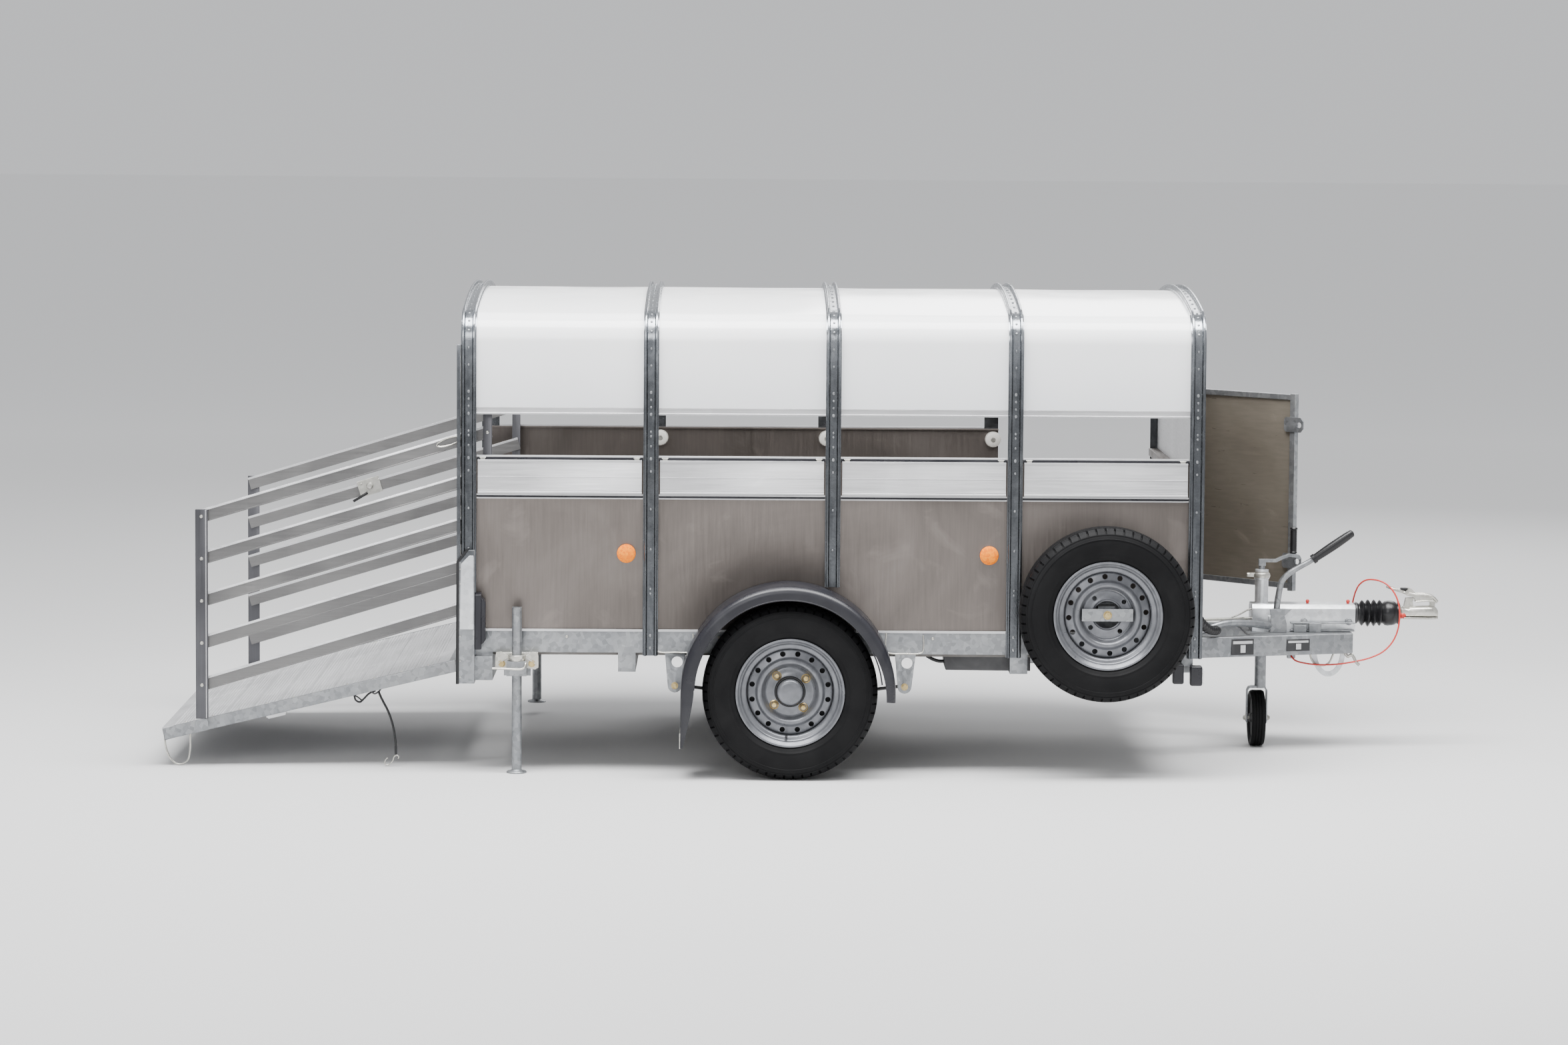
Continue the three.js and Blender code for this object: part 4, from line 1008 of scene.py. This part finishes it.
def add_ramp():
    length, half = 1037, 675
    plank, planks = 95.5, 10
    outline = []
    start = -length + 30
    for p in range(planks):
        x = start + p * plank
        outline += [(x, -5.5), (x + 1.2, -1.2)]
        for g in range(7):
            at = x + 8 + g * 11.6
            outline += [(at, -1.2), (at + 1.2, 0.4), (at + 3.2, 0.4), (at + 4.4, -1.2)]
        outline += [(x + plank - 1.4, -1.2)]
    outline += [(-24, -5.5), (-24, -14), (start, -14)]
    deck = skin([[(x, y, z) for x, z in outline] for y in (-half + 22, half - 22)])
    make("ramp_deck", on_ramp(deck), "ramp", "deck", angle=30, replaces=["ramp"])
    rail = [(half, 0), (half, -40), (half - 22, -40), (half - 22, -36.5), (half - 3.5, -36.5),
            (half - 3.5, -4), (half - 22, -4), (half - 22, 0)]
    rails = total(skin([[(x, side * y, z) for y, z in rail] for x in (-length, 0)]) for side in (-1, 1))
    ends = box(-length, -length + 30, -half, half, -40, -0.4) + box(-25, -0.2, -half, half, -40, -0.4)
    cross = total(box(x - 18, x + 18, -half + 6, half - 6, -38, -14)
                  for x in (-length * 0.25, -length / 2, -length * 0.75))
    make("ramp_frame", on_ramp(rails + ends + cross), "ramp", "galvanised", 1.2)
    heads = total(dome((start + (p + 0.5) * plank, side * (half - 46), -1.0), "+Z", 5, 2.6)
                  for p in range(planks) for side in (-1, 1))
    make("ramp_deck_rivets", on_ramp(heads), "ramp", "zinc")
    lip = box(-length - 1.5, -length + 40, -half + 2, half - 2, -0.2, 1.6)
    make("ramp_toe_plate", on_ramp(lip), "ramp", "deck", 0.5)
    loop = [(-2291, 662, 104), (-2287, 662, 64), (-2270, 662, 22), (-2243, 662, 3.6), (-2214, 662, 16),
            (-2204, 662, 50), (-2203, 662, 122)]
    make("ramp_loops", both(tube(loop, 3.4, 60, 12)), "ramp", "zinc")
    foot = box(-680, -610, 640, 668, -47, -40) + box(-676, -614, 650, 662, -52, -46)
    make("ramp_rest_pads", on_ramp(both(foot)), "ramp", "bright", 1)
    eye = tube([(-1583, 660, 262), (-1570, 660, 252), (-1556, 660, 258), (-1548, 660, 268)], 3, 24, 10)
    make("strap_eye", eye.side(-1), "ramp", "spring")
    tail = [(-1640, -655, 246), (-1634, -655, 228), (-1620, -655, 222), (-1606, -655, 234),
            (-1588, -657, 252), (-1566, -660, 262)]
    fork = [(-1640, -655, 246), (-1626, -655, 238), (-1612, -655, 226)]
    make("spare_strap_tail", tube(tail, 3.4, 40, 10) + tube(fork, 2.6, 20, 10), "ramp", "rubber")
    ears = plate([(-2176, 122), (-2134, 132), (-2134, 160), (-2140, 168), (-2170, 168), (-2176, 160)], 725,
                 728.4)
    make("gate_post_ears", ears.side(-1) + ears.moved(15), "ramp", "galvanised", 1)
    hinge_x, hinge_z = -1286, 352

    def barrel(y0, y1):
        return rod((hinge_x, y0, hinge_z), (hinge_x, y1, hinge_z), 11, 24, edge=1)
    middles = (-560, 0, 560)
    barrels = total(barrel(y - 60, y + 60) for y in middles)
    make("ramp_hinge_barrels", barrels, "ramp", "galvanised")
    knuckles = total(barrel(y - 90, y - 61) + box(-1284, -1216, y - 88, y - 63, 343, hinge_z) +
                     box(-1284, -1216, y + 63, y + 88, 343, hinge_z) + barrel(y + 61, y + 90)
                     for y in middles)
    make("ramp_hinge_knuckles", knuckles, "chassis", "galvanised", 0.8)


GATE_IN_X, GATE_OUT_X, LEFT_GATE_SHIFT = -1179, -2155, 30
GATE_TILT, GATE_TOP, GATE_PITCH = 16.8, 866, 145  # degrees, millimetres
GATE_SLOPE = math.tan(math.radians(GATE_TILT))


def gate_bar(section, length, at):
    """A bar along X that ends at its inner pivot and rises towards it."""
    beam = skin([[(x, y, v) for y, v in section] for x in (-length - 15, 11)])
    return beam.turned(-GATE_TILT, "Y").moved(*at)


def add_gate(name, side):
    add = on_side(name, side)
    shift = LEFT_GATE_SHIFT if side > 0 else 0
    x_in, x_out = GATE_IN_X + shift, GATE_OUT_X + shift
    rise = (x_in - x_out) * GATE_SLOPE
    length = (x_in - x_out) / math.cos(math.radians(GATE_TILT))
    outer = f"{name}_gate_end"
    dress(f"{name}_gate_inner_post", "post", 1)
    dress(f"{name}_gate_outer_post", "post", 1)
    fold = box(x_out + 13.5, x_out + 16.4, 719, 724.6, 172, 888)
    add("gate_post_fold", fold, "bright", 0.6, body=outer)
    section = [(701, -22.5), (707, -22.5), (707, -19), (704.6, -18), (704.6, 14.8), (701, 14.8)]
    lip = [(700.6, 14.8), (706.6, 14.8), (707.2, 17), (704.4, 22.5), (700.6, 22.5)]
    caps, hinges = [], []
    for k in range(5):
        z = GATE_TOP - GATE_PITCH * k
        pivot = (x_in, 0, z + rise)
        bar = f"{name}_gate_bar_{k + 1}"
        profile = gate_bar(section, length, pivot)
        # The bar's face takes the darker gate_bar copy of bright aluminium while its top lip keeps the bright
        # one: painted shade on the face.
        add(f"gate_bar_{k + 1}_profile", profile, "gate_bar", 0.5, body=bar, replaces=[bar])
        add(f"gate_bar_{k + 1}_lip", gate_bar(lip, length, pivot), "bright", 0.4, body=bar)
        caps.append(dome((x_out, 724, z), "+Y", 6.5, 4))
        hinges.append(dome((x_in, 724, z + rise), "+Y", 6.5, 4))
    add("gate_outer_bolts", total(caps), "zinc", body=outer)
    add("gate_inner_bolts", total(hinges), "zinc", body=f"{name}_gate")


def add_gates():
    for name, side in SIDES:
        add_gate(name, side)
    loop_x = -1310
    loop_z = GATE_TOP + (loop_x - GATE_OUT_X) * GATE_SLOPE
    path = [(loop_x + 42 * u, -712, loop_z + 6 + 42 * u * GATE_SLOPE + 13 * v) for u, v in circle(1, 20)]
    make("gate_wire_loop", tube(path + path[:1], 3, 80, 10), "right_gate_bar_1", "zinc")
    plate_x = -1692
    plate_z = GATE_TOP - GATE_PITCH + (plate_x - GATE_OUT_X - LEFT_GATE_SHIFT) * GATE_SLOPE
    catch = box(-42, 42, 690, 700.4, -30, 30).turned(-GATE_TILT, "Y").moved(plate_x, 0, plate_z + 3)
    make("gate_latch_plate", catch, "left_gate_bar_2", "zinc", 1)
    knob = lathe([(0, 0), (13, 0), (13, -9), (9, -14), (0, -15)], (plate_x, 690, plate_z + 6), "Y", 28)
    heads = total(dome((plate_x + 32 * s, 690.5, plate_z + 3 + 18 + s * 9), "-Y", 4.5, 3) for s in (-1, 1))
    make("gate_latch_knob", knob + heads, "left_gate_bar_2", "zinc")
    strap = [(-1700, 688, plate_z - 20), (-1722, 684, plate_z - 34), (-1752, 684, plate_z - 52)]
    make("gate_latch_strap", tube(strap, 5, 20, 10), "left_gate_bar_2", "rubber")


# ---------- side door ----------
DOOR_PIVOT, DOOR_TURN = (1278, 806, 0), -47.5


def on_door(shape):
    """Places a shape drawn with the door along +X from its hinge."""
    return shape.turned(DOOR_TURN, "Z").moved(*DOOR_PIVOT)


def add_door():
    reach, low, top = 638, 530, 1240
    panel = box(24, reach - 14, -2.5, 2.5, low + 14, top - 14)
    make("door_panel_sheet", on_door(panel), "side_door", "door", 0.4, replaces=["side_door"])
    bars = (box(12, 34, -10, 10, low, top) + box(reach - 25, reach, -10, 10, low - 8, top + 3) +
            box(12, reach - 4, -9, 9, low, low + 20) + box(12, reach - 4, -9, 9, top - 20, top))
    make("door_frame", on_door(bars), "side_door", "galvanised", 1.6)
    lugs = []
    for low_z, high_z in ((1104, 1158), (606, 660)):
        middle = (low_z + high_z) / 2
        lug = [(596, low_z), (668, low_z), (680, low_z + 14), (680, high_z - 14), (668, high_z),
               (596, high_z), (588, high_z - 8), (588, low_z + 8)]
        lugs.append(plate(lug, -13.4, -9.8, "Y", [circle(10, 24, (661, middle))]))
    make("door_lugs", on_door(total(lugs)), "side_door", "galvanised", 0.8)
    knuckles = total(rod((6, 0, z), (6, 0, z + 46), 9, 24, edge=1) + box(6, 24, -7, 7, z + 6, z + 40)
                     for z in (600, 1120))
    make("door_hinges", on_door(knuckles), "side_door", "galvanised", 0.6)
    arms = total(box(1238, 1284, 792.3, 795.4, z - 24, z - 4) + rod((1283, 801, z - 30), (1283, 801, z - 3),
                                                                    9, 20) for z in (600, 1120))
    make("door_hinge_arms", arms, "chassis", "galvanised", 0.8)


# ---------- drawbar ----------
BAR_SLOPE = 0.2988
SHAFT_AT = (0, 0, 480)  # the draw shaft's axis
JOCKEY_AT, JOCKEY_WHEEL = (1553, 0, 0), (1541, 0, 100)


def bar_y(x):
    """The middle of a drawbar rail, as a distance from the trailer's middle."""
    return 80 + (1871 - x) * BAR_SLOPE


def add_drawbar():
    dress("drawbar_frame", "galvanised", 3.5)
    dress("coupling_housing", "dipped", 2.5)
    low_tube = tube([(1240, -262, 432), (1311, -238, 436), (1360, -222, 452), (1410, -204, 462),
                     (1470, -176, 460), (1530, -132, 450), (1570, -99, 442)], 12.5, 60, 20)
    make("brake_conduit", low_tube, "chassis", "galvanised")
    brake_wire = [(1440, -82, 470), (1470, -66, 480), (1498, -44, 492), (1514, -36, 496)]
    brake_rod = rod((1300, -110, 462), (1516, -34, 462), 5.5, 16) + tube(brake_wire, 3, 20, 10)
    make("brake_rod", brake_rod, "chassis", "zinc")
    for label, x0, x1, z0, z1 in (("large", 1424, 1508, 352, 408), ("small", 1626, 1714, 360, 402)):
        plates = plate([(0, z0), (x1 - x0, z0), (x1 - x0, z1), (0, z1)], -1.0, 0.8)
        cells = total(box(u * (x1 - x0), v * (x1 - x0), -2.2, -0.9, z0 + a * (z1 - z0), z0 + b * (z1 - z0))
                      for u, v, a, b in ((0.06, 0.94, 0.7, 0.88), (0.4, 0.62, 0.14, 0.62)))
        angle = math.degrees(math.atan(BAR_SLOPE))
        for part, finish, suffix in ((plates, "spring", "plate"), (cells, "bright", "fields")):
            placed = part.turned(angle, "Z").moved(x0, -bar_y(x0) - 21.6, 0)
            make(f"{label}_blank_{suffix}", placed, "chassis", finish, 0.2)
    clamps = total(box(x, x + 44, -80, -60, 418, top) for x, top in ((1662, 444), (1716, 450)))
    clamps = clamps + total(bolt((x, -64, 454), "-Y", 9, 7) for x in (1700, 1860))
    ledge = box(1650, 1880, -74, -59.5, 448, 453) + box(1650, 1880, -66, -59.5, 420, 426)
    make("housing_clamps", clamps + ledge, "chassis", "galvanised", 1.5)
    ledge_left = box(1640, 1880, 59.7, 71, 446, 452)
    make("housing_ledge_left", ledge_left, "chassis", "galvanised", 1.5)
    cap_profile = [(0, 519), (6.5, 519), (7, 523), (4, 528), (0, 529)]
    caps = total(rod((x, -10, 512), (x, -10, 519), 5, 16) + lathe(cap_profile, (x, -10, 0), "Z", 24)
                 for x in (1717, 1862))
    make("grease_caps", caps, "chassis", "red", angle=50)
    bracket = plate([(1574, 418), (1634, 418), (1634, 450), (1626, 478), (1652, 502), (1572, 502),
                     (1578, 470)], -97, -93)
    foot = box(1574, 1634, -96, -60, 417.6, 421)
    make("handbrake_bracket", bracket + foot, "chassis", "galvanised", 1.2)
    rim = lathe([(24, 604), (29, 606), (30.5, 612), (29, 620), (24.4, 624), (24, 604)], JOCKEY_AT, "Z", 40)
    cap = lathe([(0, 634), (14, 634.6), (22, 632), (25.5, 624), (25.5, 620), (0, 620)], JOCKEY_AT, "Z", 40)
    tab = box(1508, 1534, -8, 8, 608, 622) + rod((1511, 0, 615), (1500, 0, 615), 8, 20)
    make("jockey_top_ring", rim + cap + tab, "chassis", "zinc", 0.6)
    clamp = lathe([(24.3, 380), (33, 382), (35, 390), (33, 402), (24.3, 405), (24.3, 380)], JOCKEY_AT, "Z",
                  40)
    lug = tube([(1570, -14, 392), (1596, -30, 384), (1618, -40, 366), (1626, -44, 350)], 8, 24, 14,
               lambda t: 1 - 0.3 * t)
    make("jockey_clamp", clamp + lug, "chassis", "galvanised")
    strap_u = [(1737, -62, 346), (1742, -62, 316), (1756, -62, 286), (1778, -62, 268), (1800, -62, 268),
               (1822, -62, 286), (1836, -62, 316), (1842, -62, 344), (1856, -62, 347)]
    flat = [(-2.5, -9), (2.5, -9), (2.5, 9), (-2.5, 9)]
    band = sweep([(v, u) for u, v in flat], smooth_path(strap_u, 60), (0, 1, 0))
    make("safety_strap", band, "chassis", "dipped", 0.5)
    wire = [(1720, -80, 346), (1726, -80, 322), (1740, -80, 304), (1762, -80, 298), (1788, -80, 308),
            (1806, -80, 346)]
    make("safety_wire", tube(wire, 3.6, 48, 10), "chassis", "zinc")
    tail = [(1846, -80, 343), (1856, -82, 332), (1868, -84, 338), (1876, -86, 330), (1884, -88, 314),
            (1896, -90, 302)]
    make("pigtail", tube(tail, 5.5, 40, 12), "chassis", "zinc")
    hose = smooth_path([(1246, -420, 560), (1276, -400, 520), (1306, -360, 478), (1338, -300, 450),
                        (1372, -240, 440)], 90)
    ribbed = sweep(circle(15, 16), hose, (0, 0, 1), lambda t: 1 + 0.16 * math.sin(t * 2 * math.pi * 15))
    make("corrugated_conduit", ribbed, "chassis", "rubber", angle=80)


def add_coupling():
    shaft = lathe([(0, 1700), (22, 1700), (22, 2056), (0, 2056)], SHAFT_AT, "X", 40)
    make("draw_tube", shaft, "draw_shaft", "zinc", angle=40, replaces=["coupling_head"])
    rings = []
    for x, half, low, high in ((2050, 27, 466, 504), (2056, 31, 464, 507), (2062, 30, 466, 503),
                               (2078, 30, 467, 500), (2084, 32, 467, 506), (2120, 33, 467, 507),
                               (2136, 36, 467, 508), (2158, 36, 467, 508), (2170, 32, 467, 506),
                               (2180, 24, 467, 500), (2186, 12, 468, 490)):
        middle, tall = (low + high) / 2, (high - low) / 2
        ring = []
        for i in range(32):
            t = 2 * math.pi * i / 32
            c, s = math.cos(t), math.sin(t)
            ring.append((x, half * math.copysign(abs(c) ** 0.6, c),
                         middle + tall * math.copysign(abs(s) ** 0.6, s)))
        rings.append(ring)
    make("coupling_body", skin(rings), "draw_shaft", "zinc", angle=50)
    flange = plate([(2060, -35), (2150, -37.5), (2172, -32), (2185, -16), (2188, 0), (2185, 16), (2172, 32),
                    (2150, 37.5), (2060, 35)], 461.5, 468, "Z")
    make("coupling_flange", flange, "draw_shaft", "zinc", 1.4)
    collar = lathe([(23, 2034), (31, 2034), (34, 2037), (34, 2046), (31, 2050), (23, 2050), (23, 2034)],
                   (0, 0, 482), "X", 48)
    make("coupling_collar", collar, "draw_shaft", "zinc", angle=40)
    post = plate([(2062, 500), (2098, 500), (2094, 520), (2098, 536), (2070, 536), (2066, 520)], -12, 12)
    pivot = rod((2165, -20, 527), (2165, 20, 527), 6, 20, edge=1) + box(2156, 2174, -14, 14, 504, 532)
    make("coupling_pivot", post + pivot, "draw_shaft", "zinc", 1)
    oval = [(2034 + 31 * math.cos(t), 18 * math.sin(t), 565 - 0.3 * 31 * math.cos(t))
            for t in (2 * math.pi * i / 24 for i in range(24))]
    ring = tube(oval + oval[:1], 4.8, 96, 12)
    arms = total(tube([(2058, s * 10, 556), (2078, s * 14, 553), (2100, s * 16, 549), (2140, s * 18, 547),
                       (2166, s * 19, 540), (2182, s * 18, 523)], 4.6, 48, 12) for s in (-1, 1))
    lower = total(tube([(2104, s * 19, 523), (2140, s * 20, 526), (2168, s * 20, 524), (2180, s * 18, 520)],
                       3, 32, 10) for s in (-1, 1))
    back = [(2064, 556), (2080, 571), (2092, 566), (2104, 552), (2146, 549)]
    cheek = back + [(2170, 540), (2182, 526), (2182, 520), (2166, 526), (2106, 524), (2098, 538), (2070, 545)]
    bridge = back + [(x, z - 3) for x, z in reversed(back)]
    web = total(plate(cheek, s * 15, s * 18) for s in (-1, 1)) + plate(bridge, -15, 15)
    make("coupling_lever", ring + arms + lower + web, "coupling_release", "zinc", angle=50,
         replaces=["coupling_handle"])
    trigger = box(2050, 2076, -9, 9, 556, 572)
    make("coupling_trigger", trigger, "coupling_release", "rubber", 3)
    plug = lathe([(0, 2046), (8, 2047), (11, 2053), (11, 2062), (6, 2068), (0, 2069)], (0, -24, 474), "X", 28)
    make("coupling_indicator", plug, "draw_shaft", "red", angle=50)
    gaiter = [(22.6, 1884), (36, 1884), (37, 1890), (36, 1897), (33, 1900)]
    for i, crest in enumerate((46, 49, 48, 47)):
        x = 1904 + i * 21
        gaiter += [(34, x), (crest - 4, x + 5), (crest, x + 9.5), (crest - 4, x + 14), (35, x + 18.5)]
    gaiter += [(38, 1990), (43, 1996), (45, 2006), (44.5, 2020), (41, 2032), (37, 2036), (38, 2040),
               (38, 2048), (22.6, 2048), (22.6, 1884)]

    def crumple(s, r, x):
        turn = 2 * math.pi * s / 72
        wobble = noise.noise(Vector((x / 17, math.cos(turn) * 1.4, math.sin(turn) * 1.4)))
        return (r + (2.4 * wobble if r > 30 else 0), x)
    bellows = make("shaft_gaiter", lathe(gaiter, SHAFT_AT, "X", 72, crumple), "chassis", "rubber", angle=70,
                   replaces=["gaiter"])
    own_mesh(bellows)
    ties = (("gaiter_tie_rear", "chassis", 37, 1889), ("gaiter_tie_front", "draw_shaft", 38.2, 2041))
    for name, body, r, x in ties:
        tie = lathe([(r, x), (r + 1.6, x), (r + 1.6, x + 5), (r, x + 5), (r, x)], SHAFT_AT, "X", 48)
        make(name, tie, body, "spring")


LEVER_Y = -78


def add_handbrake():
    def along(pairs):
        """The (x, z) pairs as points in the lever's own plane."""
        return [(x, LEVER_Y, z) for x, z in pairs]

    def taper(t):
        end = 1 if t < 0.9 else max(0.1, 1 - ((t - 0.9) / 0.1) ** 2) ** 0.5
        return (0.86 + 0.16 * math.sin(math.pi * min(1, t * 1.15))) * end
    pivot = rod((1598, -67, 442), (1598, -92, 442), 18, 28, edge=1.5)
    bend = along([(1598, 452), (1599, 500), (1608, 568), (1616, 600), (1640, 627), (1676, 650), (1712, 670),
                  (1762, 703)])
    stem = tube(bend, 10.5, 64, 20, lambda t: 1.15 - 0.3 * t)
    make("handbrake_arm", pivot + stem, "handbrake", "galvanised", angle=40, replaces=["handbrake_lever"])
    hand = along([(1728, 680), (1770, 709), (1815, 740), (1852, 766), (1868, 777)])
    collar = tube(along([(1724, 677.4), (1735, 685)]), 17.2, 4, 24)
    make("handbrake_grip", tube(hand, 16, 60, 24, taper) + collar, "handbrake", "rubber", angle=50)


def add_jockey():
    stem = lathe([(0, 208), (20.2, 208), (20.2, 478), (0, 478)], JOCKEY_AT, "Z", 40)
    fork = [(1503.5, 84), (1503.5, 200), (1510, 212), (1522, 216), (1560, 216), (1572, 212), (1578.5, 200),
            (1578.5, 84), (1574.5, 80), (1574.5, 84), (1574, 198), (1568, 208), (1514, 208), (1508.5, 198),
            (1508.5, 84), (1508, 80)]
    yoke = skin([[(x, y, z) for x, z in fork] for y in (-15, 15)])
    make("jockey_leg_fork", stem + yoke, "jockey_leg", "galvanised", 1, 40, replaces=["jockey_stem"])
    pin = (rod((1493, 0, 100), (1590, 0, 100), 5.5, 18, edge=1) + bolt((1503, 0, 100), "-X", 9.5, 8) +
           bolt((1579, 0, 100), "+X", 9.5, 8))
    make("jockey_axle", pin, "jockey_leg", "zinc", 0.4)
    tread = [(74, -17), (82, -22), (90, -25), (96, -24.4), (98.6, -20)]
    for y in (-15, -5, 5):
        tread += [(99.8, y), (99.9, y + 3.6), (97.8, y + 4.4), (97.8, y + 5.8), (99.9, y + 6.6)]
    tread += [(99.8, 15), (98.6, 20), (96, 24.4), (90, 25), (82, 22), (74, 17), (74, -17)]
    make("jockey_tyre", lathe(tread, JOCKEY_WHEEL, "X", 96), "jockey_roller", "tyre", angle=40,
         replaces=["jockey_wheel"])
    hub = [(6, -26), (15, -26), (16, -20), (18, -12), (60, -8), (70, -14), (74.5, -16), (74.5, 16), (70, 14),
           (60, 8), (18, 12), (16, 20), (15, 26), (6, 26), (6, -26)]
    make("jockey_hub", lathe(hub, JOCKEY_WHEEL, "X", 64), "jockey_roller", "spring", angle=40)
    bar = [(1541, 648), (1541, 672), (1600, 672), (1622, 682), (1650, 692), (1672, 692), (1688, 686),
           (1692, 676), (1684, 670), (1672, 678), (1650, 681), (1626, 672), (1604, 661), (1566, 661),
           (1566, 648)]
    crank = plate(bar, -11, 11) + rod((1553, 0, 636), (1553, 0, 664), 10.5, 24)
    make("jockey_crank_bar", crank, "jockey_handle", "galvanised", 1.2, 40, replaces=["jockey_crank"])
    grip = [(0, 692), (9, 692), (12.8, 694), (12.8, 698)]
    for i in range(12):
        grip += [(11.4, 700 + i * 6.4), (12.2, 703 + i * 6.4)]
    grip += [(11.6, 777), (13.6, 779), (13.6, 783), (11, 786), (0, 786)]
    make("jockey_grip", lathe(grip, (1665, 0, 0), "Z", 40), "jockey_handle", "rubber", angle=30)


# ---------- stage ----------
def area_light(name, place, target, size, power):
    data = bpy.data.lights.new(name, "AREA")
    data.shape, data.size, data.size_y, data.energy = "RECTANGLE", size[0], size[1], power
    light = bpy.data.objects.new(name, data)
    light.location = place
    light.rotation_euler = (Vector(target) - Vector(place)).to_track_quat("-Z", "Y").to_euler()
    bpy.context.scene.collection.objects.link(light)


def add_stage():
    bpy.ops.mesh.primitive_plane_add(size=240, location=(0, 0, 0))
    floor = bpy.context.object
    floor.name = "studio_floor"
    floor_shade = Finish("studio_floor", "galvanised", (0.6, 0.6, 0.6), 0.7)
    # Painted shade: the floor is 0.6 within 4 m of its middle, brightening to 0.93 at 16 m, a darker pool
    # around the trailer.
    away = floor_shade.node("ShaderNodeVectorMath", Vector=floor_shade.place)
    away.operation = "LENGTH"
    reach = floor_shade.node("ShaderNodeMapRange", **{"Value": away.outputs["Value"], "From Min": 4.0,
                                               "From Max": 16.0})
    floor_shade.color(floor_shade.ramp(reach.outputs["Result"], [(0, (0.6, 0.6, 0.6)), (1, (0.93, 0.93, 0.93))]))
    floor.data.materials.append(floor_shade.material)
    world = bpy.data.worlds.new("studio")
    world.use_nodes = True
    world.node_tree.nodes["Background"].inputs["Color"].default_value = (0.84, 0.85, 0.87, 1)
    world.node_tree.nodes["Background"].inputs["Strength"].default_value = 0.84
    bpy.context.scene.world = world
    area_light("overhead", (0.3, -2.0, 6.5), (0, 0, 0.8), (8, 3), 1750)
    area_light("front_fill", (-2.5, -9, 4.5), (0, 0, 0.8), (5, 3), 240)
    area_light("back_fill", (2.5, 8, 5.0), (0, 0, 1.0), (5, 3), 260)
    area_light("under_roof", (BODY_X, 0, 1.56), (BODY_X, 0, 0.4), (2.2, 1.1), 26)


def main():
    add_camera()
    add_cords()
    add_hoops()
    add_roof()
    add_panels()
    add_wheels()
    add_mudguards()
    add_chassis()
    add_stands()
    add_ramp()
    add_gates()
    add_door()
    add_drawbar()
    add_coupling()
    add_handbrake()
    add_jockey()
    add_stage()


main()
